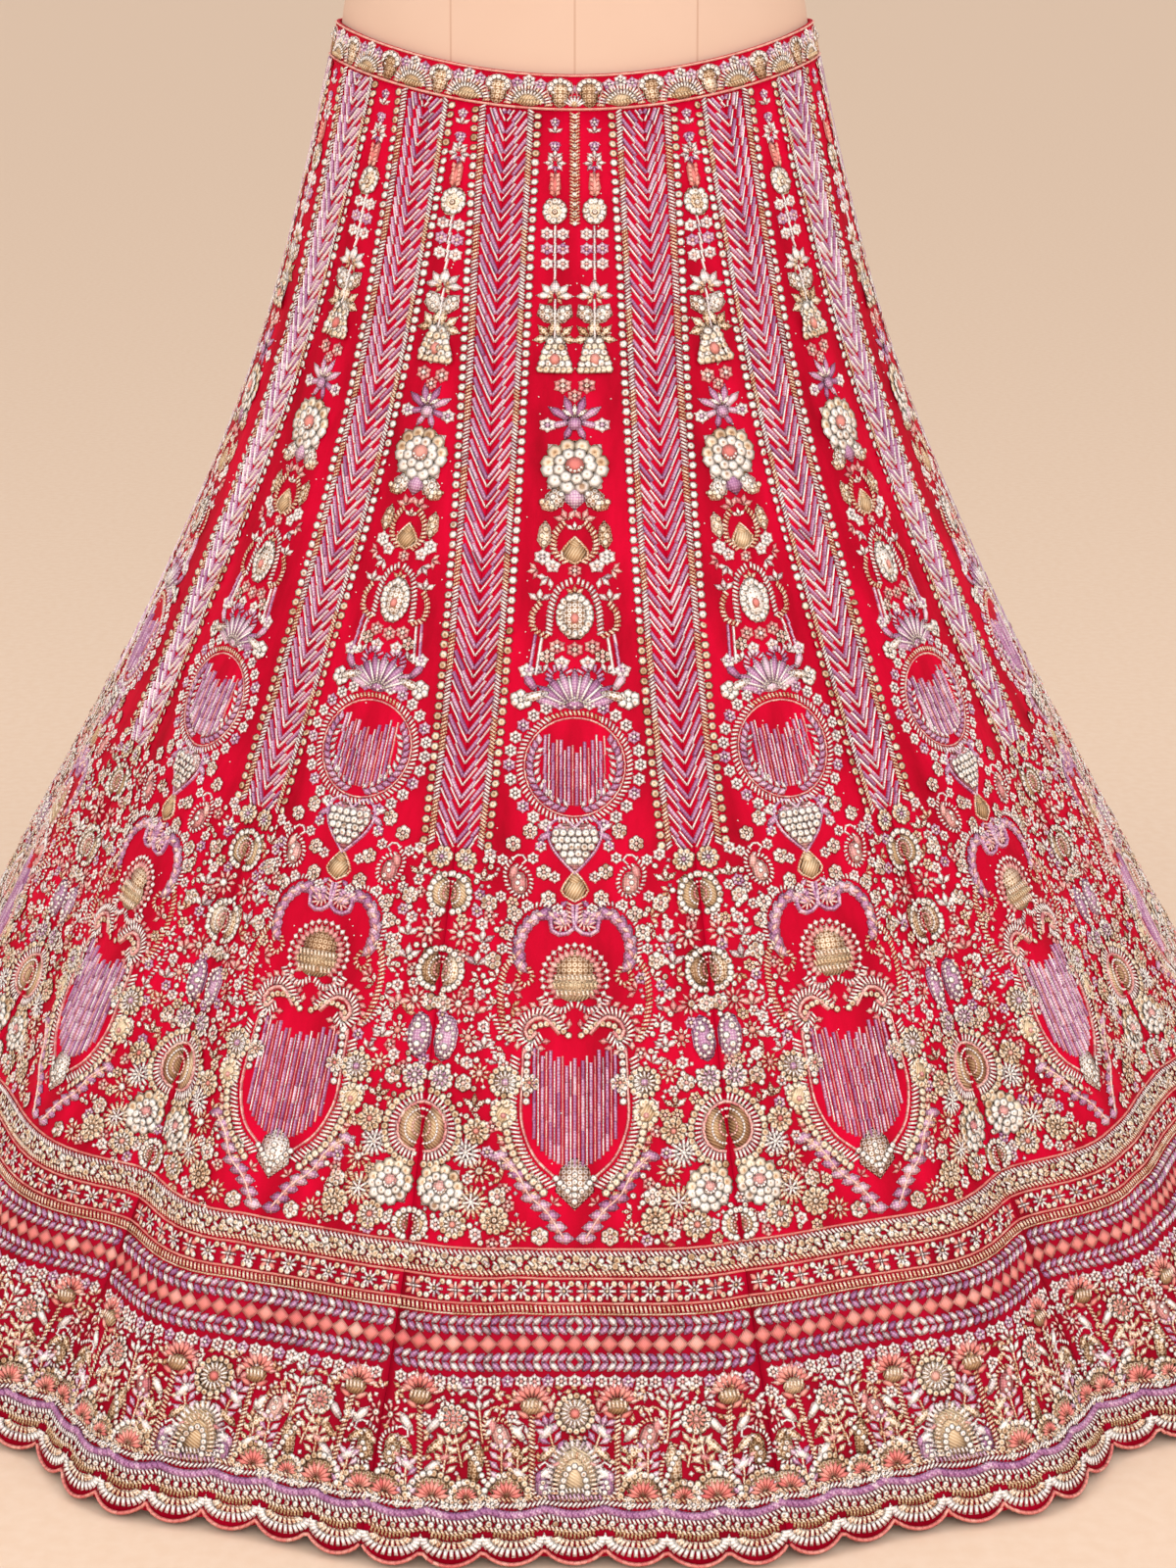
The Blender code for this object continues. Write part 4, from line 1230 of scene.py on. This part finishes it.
def small_flowers(kali, table, seed):
    """Small flowers, then single sequins, in the gaps below the bands."""
    chance = np.random.default_rng(seed)
    flowers = (flower(6, 4.4, FOIL, ROSE, BEAD), trefoil(7.5, SHINE, 0.6), flower(5, 4.6, ROSE, SHINE),
               flower(6, 4.2, LAVENDER, FOIL, BEAD), trefoil(7.5, GOLD),
               flower(6, 4.0, SILVER, SALMON, BEAD))
    singles = (sequins([(0, 0), (0.1, 0)], SHINE, 9, 4.6)[:1], pad(0, 0, 3.6, 3.6, SILVER, kind=BEAD))
    for motifs, reach, spacing, tries in ((flowers, 3.4, 7.0, 2600), (singles, 1.6, 3.0, 3000)):
        w, v = chance.uniform(-135, 135, tries), chance.uniform(552, 798, tries)
        free = (np.abs(w) < half_width(kali, v) - 3.0) & ~bare_silk(w, v) & (np.abs(w) > TALL_CLEAR_W)
        table = fill_gaps(table, w[free], v[free], motifs, reach, spacing, seed)
    return table


# %% [markdown]
# The border is sewn in level rows, from a pink cord at the top down to small
# flowers. Every row is one small unit repeated across the kali, and the number
# of repeats is chosen so that it ends evenly at both seams.

# %% Border rows
def repeat(kali, v, pitch, units, margin=1.0):
    """Units in turn, at even steps from seam to seam at the depth v."""
    reach = half_width(kali, v) - margin
    count = max(1, round(2 * reach / pitch))
    places = -reach + (np.arange(count) + 0.5) * 2 * reach / count
    return join(*[moved(units[k % len(units)], w, v) for k, w in enumerate(places)])


def level(kali, v):
    """A level line from seam to seam."""
    reach = half_width(kali, v) - 0.6
    w = np.linspace(-reach, reach, 40)
    return np.stack([w, np.full(40, v)], axis=1)


def uneven(table, finishes):
    """The same stitches a little out of line, of uneven size and in several finishes."""
    new, k = table.copy(), np.arange(len(table))
    new[:, W] += 0.9 * np.sin(5.1 * k)
    new[:, V] += 1.1 * np.sin(3.7 * k + 1)
    new[:, [LONG, WIDE]] *= (1 + 0.2 * np.sin(2.3 * k))[:, None]
    new[:, FINISH] = np.array(finishes)[k * k % 7 % len(finishes)]
    return new


def arrow_row(kali, v):
    """Arrows in two colours that point away from the kali's middle on both sides."""
    reach = half_width(kali, v) - 2
    count = int(reach / 5.2)
    pairs = [join(pad(0, -2.9, 8.6, 4.4, finish, 0.75, 2.0, 0, 0.4, LEAF),
                  pad(0, 2.9, 8.6, 4.4, finish, -0.75, 2.0, 0, 0.4, LEAF)) for finish in (SILVER, LAVENDER)]
    return both(laid(*[((k + 0.5) * reach / count, v, pairs[k % 2]) for k in range(count)]))


def border(kali):
    """All level rows between the medallions and the flower band."""
    disc = stitches([-2.2, 2.2], 0, 0, (4.8, 4.8, 1.4), SEQUIN, [FOIL, SHINE], tone=0.8)
    knot = join(all_fan(1.2, 5.6, 8, SILVER, 2.4, 0.45), stitches(0, 0, 0, (2.8, 2.8, 2.4), BEAD, GOLD))
    diamond = pad(0, 0, 13.0, 12.2, SALMON, high=1.0, tone=0.45, kind=BEAD)
    mixed = join(uneven(sequins(level(kali, 807.6), FOIL, 4.3, 5.4), (FOIL, SHINE, FOIL, SILVER)),
                 uneven(sequins(level(kali, 812.2), SHINE, 4.1, 5.2), (SHINE, FOIL, SHINE, SHINE, FOIL)),
                 uneven(line(level(kali, 810.0), 5.6, (4.4, 2.2, 1.8), GRAIN, SILVER, 0.7, 1.3, 0.7),
                        (SILVER, GOLD)))
    pink, steep = (1.7, SALMON, 12.0), QUARTER - 0.25
    return join(
        cord(level(kali, 801), *pink), ribs(level(kali, 804.2), 5.0, SILVER, 2.9, 0.9, 0.5),
        mixed, ribs(level(kali, 816.0), 5.0, GOLD, 2.9, 0.9, 0.7), cord(level(kali, 819.6), *pink),
        repeat(kali, 827.6, 14.0, (star(6.9, SALMON), knot), 1.0),
        repeat(kali, 822.9, 14.0, (disc,), 8.0), repeat(kali, 832.3, 14.0, (disc,), 8.0),
        cord(level(kali, 835.4), *pink), ribs(level(kali, 839.0), 4.6, GOLD, 2.9, steep, 0.6),
        cord(level(kali, 842.2), 1.4, GOLD, 12.0), arrow_row(kali, 849.5),
        repeat(kali, 861.0, 10.9, (diamond,), 0.0), arrow_row(kali, 872.5))


# %% [markdown]
# Under the rows lies a deep band of flowers. Its motifs follow a layout made
# for this skirt: a tall lotus on each side of a middle rosette, paisleys that
# lean towards them, shells along the foot, and sprays of leaves between.

# %% Flower band above the hem
def tall_lotus():
    """A lotus on a stem of ribs with pairs of long leaves."""
    head = join(fan(4, 15, -172, -8, 8, ROSE, 3.8, 0.5, PETAL),
                fan(3, 12.5, -162, -18, 7, SALMON, 3.8, 0.5, PETAL, 0.8),
                pad(0, 2, 15, 11, BROWN, high=3.0), ribs([(-5, 1), (5, 1)], 5.0, GOLD, 2.4, 1.4, 0.8, 2.4),
                both(pad(-5.5, 7.5, 10, 4, SALMON, 0.5, kind=LEAF)))
    return join(moved(head, 0, -25), ribs([(0, -16), (0, 32)], 4.6, GOLD, 2.7, QUARTER - 0.5),
                both(join(pad(9.0, -6.0, 16.0, 6.4, SILVER, -0.85, 2.0, 0, 0.7, LEAF),
                          pad(10.0, 7.0, 16.0, 6.4, FOIL, -0.7, 2.0, 0, 0.7, LEAF),
                          pad(8.0, 20.0, 14.0, 6.4, SILVER, -0.6, 2.0, 0, 0.7, LEAF),
                          pad(15.5, 14.0, 10.0, 4.8, ROSE, -0.4, kind=LEAF))))


def shell(radius=16.0):
    """Half a disc of satin rays with sequins round it, standing on the band's foot."""
    return join(pad(0, -0.42 * radius, 1.5 * radius, 0.84 * radius, FOIL),
                fan(0.1 * radius, 0.7 * radius, -172, -8, 9, SALMON, 0.2 * radius, 0.5, PETAL, 1.4),
                sequins(oval(0.88 * radius, 0.88 * radius, -178, -95), FOIL, 4.0, 5.2, 0.6),
                sequins(oval(0.88 * radius, 0.88 * radius, -85, -2), SHINE, 4.0, 5.2, 0.9),
                both(moved(flower(6, 4.4, SHINE, SILVER, SEQUIN), 0.55 * radius, 4)))


def long_leaf(finish=FOIL):
    """A tall bent leaf of sequins with a rib of beads."""
    return join(pad(0, 0, 30, 11, finish, -QUARTER - 0.25, 2.2, kind=LEAF),
                sequins(curl([(-4, 11), (-1, 0), (4, -11)]), SHINE, 4.0, 4.4, 0.9, 1.2),
                ribs(curl([(-7, 12), (-7, 0), (0, -12)]), 3.2, GOLD, 2.7))


def spray(finish=SILVER):
    """A stalk with four pairs of leaves and one at its tip, like coral."""
    leaves = [pad(4.4, 6 - 6 * k, 9.6, 4.2, finish, -0.75, tone=0.7, kind=PETAL) for k in range(4)]
    return join(cord([(0, 12), (0, -9)], 1.8, GOLD, 7.0),
                pad(0, -12, 9, 4.4, finish, -QUARTER, tone=0.7, kind=PETAL), both(join(*leaves)))


def dome():
    """A brown arch with rays, ribs and sequins in it, on a foot of two rows."""
    foot = [ribs([(-16, y), (16, y)], 4.0, finish, 2.7, 1.2, 0.6, 1.0)
            for y, finish in ((-1.5, SILVER), (2.5, LAVENDER))]
    return join(pad(0, -14, 38, 30, BROWN, QUARTER, 2.6),
                line(oval(17.5, 31, -180, 0), 3.4, (6.4, 3.2, 1.8), GRAIN, SILVER, QUARTER),
                ribs(oval(12.5, 24, -180, 0), 5.0, GOLD, 2.8, QUARTER, 0.7, 2.0),
                sequins(oval(8, 17, -180, 0), SHINE, 4.2, 4.8, 0.85, 2.4), *foot)


def flower_band(kali, seed):
    """The deep band, laid out from the kali's middle to both seams."""
    beads, six = flower(6, 4.4, SILVER, ROSE, BEAD), flower(6, 5.4, SHINE, ROSE, SEQUIN)
    half = laid(
        (27, 923, tall_lotus()), (20, 949, paisley(22, LAVENDER, SILVER)), (15, 921, spray(LAVENDER), 0.3),
        (36, 940, spray(FOIL)), (47, 916, paisley(27, ROSE, GOLD), 0.35), (46, 937, spray(LAVENDER)),
        (43, 957, shell(16.0)), (62, 936, long_leaf(FOIL), 0.1), (59, 911, spray(SILVER), 0.1),
        (68, 957, shell(11.0)), (76, 908, dahlia(9.0, SHINE, SALMON, ROSE)), (81, 933, spray(GOLD), -0.15),
        (73, 926, spray(GOLD), 0.2), (89, 957, shell(17.0)), (97, 918, tall_lotus()),
        (106, 948, spray(LAVENDER)), (114, 930, paisley(27, FOIL, SILVER), -0.35),
        (116, 909, daisy(8.0, ROSE, SHINE)), (119, 957, shell(15.0)), (131, 925, spray(FOIL)),
        (131, 945, six), (15, 905, trefoil(10, ROSE)), (60, 894, trefoil(9, SILVER)),
        (88, 893, trefoil(9, SHINE)), (38, 897, trefoil(8, GOLD)))
    top = repeat(kali, 884.5, 8.6, (beads, beads, flower(5, 4.0, LAVENDER, SILVER, BEAD)), 4.0)
    table = join(both(half), top, laid((0, 905, dahlia(13.5, FOIL, SILVER, SALMON)), (0, 955, dome())))
    table = table[np.abs(table[:, W]) < half_width(kali, table[:, V]) - 1.8]
    chance = np.random.default_rng(seed)
    sprigs = (trefoil(8, SILVER), beads, trefoil(7, GOLD), trefoil(7, SHINE, 0.7))
    singles = (pad(0, 0, 3.8, 3.8, SILVER, kind=BEAD), pad(0, 0, 6.4, 3.8, GOLD, kind=PETAL))
    for motifs, reach, spacing, tries in ((sprigs, 3.0, 5.0, 1800), (singles, 1.5, 3.0, 2400)):
        w, v = chance.uniform(-140, 140, tries), chance.uniform(888, 958, tries)
        free = np.abs(w) < half_width(kali, v) - 2.5
        table = fill_gaps(table, w[free], v[free], motifs, reach, spacing, seed)
    return table


# %% [markdown]
# The hem ends in scallops, seven to a kali. Each holds a small shell: a brown
# heart, then two rows of rays like a fan, then the bound edge. Rows of beads
# and a wavy lavender rope run along above them.

# %% Scalloped hem
LOOSE_BEADS = 110


def wavy(kali, v, dip):
    """A line from seam to seam that dips in each scallop by dip mm."""
    reach = half_width(kali, v) - 0.6
    w = np.linspace(-reach, reach, 15 * SCALLOPS + 1)
    return np.stack([w, v + dip * np.abs(np.sin(math.pi * SCALLOPS * (w + reach) / (2 * reach)))], axis=1)


def scallops(kali):
    """Rays under a brown heart in each scallop, with wavy rows above and a bound edge."""
    reach = half_width(kali, 990.0)
    size = reach / SCALLOPS
    heart = ribs([(-0.62 * size, 0.2), (0, 2.2), (0.62 * size, 0.2)], 4.4, BROWN, 2.4, QUARTER, 0.35)
    turn = np.radians(np.linspace(14, 166, 10))
    inner = stitches(0.62 * size * np.cos(turn), 3.0 + 4.6 * np.sin(turn), turn, (5.6, 3.0, 1.6), GRAIN,
                     GOLD, tone=0.7)
    turn = np.radians(np.linspace(2, 178, 15))
    outer = stitches(0.9 * size * np.cos(turn), 3.6 + 8.8 * np.sin(turn), turn, (6.0, 3.3, 1.7), GRAIN,
                     SILVER, tone=0.75)
    between = stitches([-size, size], 3.0, QUARTER, (6.2, 3.4, 1.8), PETAL, SHINE, tone=0.8)
    lobe = join(heart, inner, outer, between)
    lobes = [moved(lobe, -reach + (k + 0.5) * 2 * size, 979.5) for k in range(SCALLOPS)]
    across = np.linspace(0.004, 0.996, 16 * SCALLOPS + 1)
    hem = 1000 * scallop_edge(across) - 0.7
    edge = np.stack([(2 * across - 1) * half_width(kali, hem), hem], axis=1)
    return join(*lobes, cord(edge, 2.6, SALMON, 4.0, tone=0.4),
                ribs(wavy(kali, 957.2, 1.5), 4.6, GOLD, 2.9, 0.8),
                ribs(wavy(kali, 960.7, 2.0), 4.6, SILVER, 2.9, -0.8, 0.7),
                line(wavy(kali, 965.0, 3.4), 3.9, (9.6, 6.0, 2.4), PETAL, LAVENDER, 0.6, 0, 0.3),
                ribs(wavy(kali, 969.4, 3.0), 4.6, SILVER, 2.7, 1.1, 0.75),
                sequins(wavy(kali, 972.9, 3.0), SHINE, 6.0, 4.8, 0.7),
                ribs(wavy(kali, 975.8, 3.2), 4.4, GOLD, 2.8, 0.9, 0.7))


def loose_beads(kali, seed):
    """Single tiny beads strewn over the bare silk."""
    chance = np.random.default_rng(seed)
    v = chance.uniform(60, 800, LOOSE_BEADS)
    w = chance.uniform(-1, 1, LOOSE_BEADS) * (half_width(kali, v) - 24)
    return stitches(w, v, 0, (1.5, 1.5, 1.1), BEAD, SILVER, 0, 0.95)


# %% Sewing the kalis
def kali_table(kali):
    """Everything that is sewn on one kali, as one table of stitches."""
    seed = 40 + kali
    if kali == 0:
        edge = stitches(1.6, np.arange(30, 112, 2.5), -0.5, (4.2, 2.0, 1.7), GRAIN, GOLD)
        side = join(edge, moved(spread_out(slender_sprig(), 1.0, 1.14), 13.4, 0))
        top, wide, fuller = join(both(side), sequins([(0, 32), (0, 110)], SHINE, 7.3, 4.4)), 1.22, 1.2
    else:
        top, wide, fuller = spread_out(slender_sprig(), 1.12, 1.24), 1.05, 1.13
    column = spread_out(join(column_upper(), column_lower()), wide, fuller)
    base = join(both(half_band(kali)), top, column, round_medallion(), between_medallions(),
                tall_medallion(), leafy_point(), both(spread_out(seam_garden(kali), 1.0, 1.1)))
    table = join(small_flowers(kali, base, seed), border(kali), flower_band(kali, seed + 50),
                 scallops(kali), loose_beads(kali, seed + 90))
    return table[np.abs(table[:, W]) < half_width(kali, table[:, V]) - 0.4]


def sew_all():
    """The embroidery of all fourteen kalis, one piece for each."""
    total = 0
    for kali, cloth in enumerate(KALIS):
        table = kali_table(kali)
        name = cloth + "_embroidery"
        mesh = sew(name, table, lambda w, v: from_plan(kali, w, v), 7 + kali)
        add_piece(name, mesh, FINISHES)
        total += len(mesh.polygons)
        if kali < 2:
            print(name, "has", len(table), "stitches and", len(mesh.polygons), "triangles")
    print("embroidery of the kalis:", total, "triangles")


sew_all()

# %% [markdown]
# The waistband is a stiff strip of the same silk in two halves. Its outer face
# stands a little proud of the kalis that are sewn into it. Two motifs repeat
# along it: a half fan of glass tubes over gold thread, and a scallop of
# sequins. A pink cord is couched along its top and another along its foot.

# %% Waistband
BAND_OUT, BAND_CLOTH = 0.0008, 0.0022
BAND_ANGLES = np.linspace(-89.93, 89.93, 181)
FAN_PITCH = 43.2
FAN_PLACES = 31.8 + FAN_PITCH * np.arange(5)
SCALLOP_PLACES = 9.9 + FAN_PITCH * np.arange(6)


def band_run():
    """Distance in mm along the band's face from the middle of its half, for each angle."""
    steps = np.diff(round_skirt(BAND_DOWN / 2, BAND_ANGLES, BAND_OUT), axis=0)
    run = np.concatenate([[0], np.cumsum(np.linalg.norm(steps, axis=1))]) / MM
    return run - run[-1] / 2


RUN = band_run()


def from_band(middle, w, v):
    """Point of the band's face, w mm along from its half's middle and v mm down."""
    return round_skirt(v * MM, middle + np.interp(w, RUN, BAND_ANGLES), BAND_OUT)


def half_fan():
    """Two rings of glass tubes over a padded half disc, with a small flower on top."""
    rays = fan(11.2, 17.0, -175, -5, 19, SILVER, 2.2, 0.6)
    rays[::3, FINISH] = GOLD
    top = join(moved(flower(6, 4.8, SILVER, SHINE, BEAD), 0, -18.6),
               both(moved(flower(5, 4.2, LAVENDER, SILVER, BEAD), 8.2, -16.4)),
               both(moved(trefoil(7.0, SILVER), 13.6, -12.2, 1.0)))
    sill = ribs([(-9, -2.6), (9, -2.6)], 4.0, BROWN, 2.4, QUARTER - 0.4, 0.7, 1.0)
    return join(pad(0, -5.4, 21, 11.5, BROWN, high=2.0), sill,
                fan(8.0, 11.4, -166, -14, 13, SILVER, 2.0, 0.75, lift=0.8), rays, top)


def sequin_scallop():
    """A padded arch filled with sequins, a rim of pearl sequins and a rose edge."""
    return join(pad(0, -8.0, 17, 12.5, FOIL, QUARTER, 1.8), pad(0, -13.4, 17.5, 13, FOIL, high=2.0),
                moved(sequins(oval(6.9, 5.6, -185, 5), SHINE, 3.6, 4.6, 0.9, 0.9), 0, -13.4),
                moved(cord(oval(9.2, 8.0, -200, 20), 1.5, ROSE, 4.0), 0, -13.2),
                both(cord([(8.4, -11), (6.4, -1)], 1.4, ROSE, 5.0)))


def small_fan():
    """The narrow fan in the middle of the front."""
    return join(fan(2.0, 8.6, -150, -30, 7, SILVER, 2.2, 0.7), pad(0, -3, 7, 6, BROWN),
                moved(trefoil(7, LAVENDER), 0, -10))


def band_table():
    """The embroidery of half the waistband, from its middle to both ends."""
    foot, ends = 24.9, RUN[-1]
    half = join(*[moved(half_fan(), w, foot) for w in FAN_PLACES],
                *[moved(sequin_scallop(), w, foot) for w in SCALLOP_PLACES])
    table = join(both(half), moved(small_fan(), 0, foot),
                 cord([(-ends, 1.3), (ends, 1.3)], 1.7, SALMON, 9.0, 0.0, 0.9),
                 cord([(-ends, 26.2), (ends, 26.2)], 2.0, SALMON, 9.0, 0.0, 0.8))
    return table[np.abs(table[:, W]) < ends - 0.3]


def make_band(name, middle, seed):
    """The silk of half the waistband, with its embroidery as a piece of its own."""
    down = np.linspace(0, BAND_DOWN, 5)[:, None]
    w = np.linspace(RUN[0], RUN[-1], 73)[None, :]
    uv = np.stack(np.broadcast_arrays(w * MM, -down), axis=-1)
    cloth = silk_piece(name, from_band(middle, w, down / MM), uv, BAND_CLOTH)
    beads = sew(name + "_embroidery", band_table(), lambda w, v: from_band(middle, w, v), seed)
    add_piece(name + "_embroidery", beads, FINISHES)
    print(name, "is", round(RUN[-1] - RUN[0]), "mm long, its embroidery has", len(beads.polygons),
          "triangles")


make_band("waistband_front", 0.0, 71)
make_band("waistband_back", 180.0, 72)

# %% [markdown]
# The dress form is a hard body covered with linen. The linen was cut in panels,
# and thin seams run down between them. Its shape is a stack of ellipses from
# the hips to the neck. The ring at the waist is tilted like the waist edge, so
# that it fills the skirt and the skirt hangs from it.

# %% Dress form
# height over the waist edge, half width, half depth, share of the waist edge's tilt
TORSO = ((-0.190, 0.118, 0.082, 0.0), (-0.186, 0.138, 0.098, 0.0), (-0.172, 0.154, 0.110, 0.1),
         (-0.140, 0.167, 0.120, 0.4), (-0.085, 0.1735, 0.1265, 0.8), (-0.035, 0.1720, 0.1270, 1.0),
         (0.000, 0.16915, 0.12565, 1.0), (0.030, 0.1640, 0.1225, 0.8), (0.075, 0.1500, 0.1140, 0.4),
         (0.125, 0.1370, 0.1050, 0.1), (0.175, 0.1395, 0.1065, 0.0), (0.235, 0.1510, 0.1160, 0.0),
         (0.300, 0.1620, 0.1255, 0.0), (0.360, 0.1690, 0.1190, 0.0), (0.415, 0.1755, 0.1010, 0.0),
         (0.455, 0.1745, 0.0840, 0.0), (0.482, 0.1560, 0.0700, 0.0), (0.503, 0.1150, 0.0610, 0.0),
         (0.520, 0.0760, 0.0550, 0.0), (0.542, 0.0580, 0.0515, 0.0), (0.585, 0.0530, 0.0500, 0.0))
TORSO_SIDES, STEPS_BETWEEN = 72, 3       # points round a ring, rings from one row to the next
SEAM_PLACES, SEAM_HALF = (-0.086, 0.0, 0.085), 0.0007


def torso_mesh():
    """Ellipses at even steps between the table's rows, closed by a point at each end."""
    rows = np.arange(len(TORSO))
    at = np.linspace(0, len(TORSO) - 1, STEPS_BETWEEN * (len(TORSO) - 1) + 1)[:, None]
    height, wide, deep, tilt = [smooth_curve(at, rows, column) for column in np.array(TORSO).T]
    angle = np.arange(TORSO_SIDES)[None, :] * 360 / TORSO_SIDES
    turn = np.radians(angle)
    z = WAIST_HEIGHT + height + (waist_edge(angle) - WAIST_HEIGHT) * tilt
    rings = np.stack([wide * np.sin(turn), -deep * np.cos(turn), z], axis=-1)
    low, high = rings[0].mean(axis=0), rings[-1].mean(axis=0)
    points = np.concatenate([rings.reshape(-1, 3), [low, high]])
    count, last = len(rings), len(rings) * TORSO_SIDES
    faces = []
    for k in range(TORSO_SIDES):
        there = (k + 1) % TORSO_SIDES
        for i in range(count - 1):
            here = i * TORSO_SIDES
            faces.append((here + k, here + there, here + there + TORSO_SIDES, here + k + TORSO_SIDES))
        faces.append((there, k, last))
        faces.append((last - TORSO_SIDES + k, last - TORSO_SIDES + there, last + 1))
    mesh = bpy.data.meshes.new("torso_linen")
    mesh.from_pydata(points.tolist(), [], faces)
    mesh.shade_smooth()
    return mesh


def linen_material():
    """Plain weave of pale linen, a little darker along three thin seams."""
    material, tree, shader = blank_material("natural_linen")
    place = node(tree, "TexCoord")
    thread_spacing = 1.4 * MM     # drawn about twice as coarse as it is, to show
    waves = [node(tree, "TexWave", {"bands_direction": way}, Vector=(place, "Object"),
                  Scale=1 / (20 * thread_spacing), Distortion=1.0, Detail=1.0) for way in ("X", "Z")]
    weave = node(tree, "Math", {"operation": "ADD"}, input0=(waves[0], "Fac"), input1=(waves[1], "Fac"))
    cloud = node(tree, "TexNoise", Scale=9.0, Detail=3.0, Vector=(place, "Object"))
    tint = ramp(tree, (cloud, "Fac"), ((0.3, "#dcc0ae"), (0.7, "#e0c5b4")))
    across = node(tree, "SeparateXYZ", Vector=(place, "Object"))
    seams = [node(tree, "Math", {"operation": "COMPARE"}, input0=(across, "X"), input1=seam,
                  input2=SEAM_HALF) for seam in SEAM_PLACES]
    near = seams[0]
    for seam in seams[1:]:
        near = node(tree, "Math", {"operation": "MAXIMUM"}, input0=(near, "Value"), input1=(seam, "Value"))
    share = node(tree, "Math", {"operation": "MULTIPLY"}, input0=(near, "Value"), input1=0.35)
    stitched = node(tree, "MixRGB", {"blend_type": "MULTIPLY"}, Fac=(share, "Value"),
                    Color1=(tint, "Color"), Color2=linear("#c9a48c"))
    bump = node(tree, "Bump", Height=(weave, "Value"), Strength=0.12, Distance=0.2 * MM)
    set_inputs(tree, shader, Base_Color=(stitched, "Color"), Normal=(bump, "Normal"), Roughness=0.8,
               Specular_IOR_Level=0.15)
    return material


torso = add_piece("form_torso_linen", torso_mesh(), [linen_material()])
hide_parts("form_torso")
print("torso has", len(torso.data.polygons), "faces")

# %% [markdown]
# The neck is closed by a turned walnut cap. A steel pole under the skirt
# carries the form on a round foot. Both are painted, with a slight unevenness
# from the brush and fine dust.


# %% Wood and painted steel
def walnut_material():
    """Turned wood: growth rings round an axis that lies off the cap's middle."""
    material, tree, shader = blank_material("oiled_walnut")
    place = node(tree, "Mapping", Vector=(node(tree, "TexCoord"), "Object"), Location=(0.35, 0.1, 0.0))
    rings = node(tree, "TexWave", {"wave_type": "RINGS", "rings_direction": "Z"}, Vector=(place, "Vector"),
                 Scale=14.0, Distortion=4.0, Detail=3.0, Detail_Scale=2.0)
    tint = ramp(tree, (rings, "Fac"), ((0.2, "#4a2c1b"), (0.8, "#7a4e31")))
    set_inputs(tree, shader, Base_Color=(tint, "Color"), Roughness=0.38)
    return material


def steel_material():
    """Cream powder paint: a fine bump and a little change of roughness."""
    material, tree, shader = blank_material("cream_painted_steel")
    grain = node(tree, "TexNoise", Scale=600.0, Detail=2.0, Vector=(node(tree, "TexCoord"), "Object"))
    tint = ramp(tree, (grain, "Fac"), ((0.3, "#d8d0c4"), (0.7, "#e2dbd0")))
    rough = node(tree, "MapRange", Value=(grain, "Fac"), To_Min=0.4, To_Max=0.55)
    bump = node(tree, "Bump", Height=(grain, "Fac"), Strength=0.2, Distance=0.1 * MM)
    set_inputs(tree, shader, Base_Color=(tint, "Color"), Roughness=(rough, "Result"),
               Normal=(bump, "Normal"))
    return material


WALNUT, STEEL = walnut_material(), steel_material()
for name, material in (("form_neck_cap", WALNUT), ("form_pole", STEEL), ("form_base", STEEL)):
    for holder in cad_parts[name].material_slots:
        holder.link = "OBJECT"
        holder.material = material
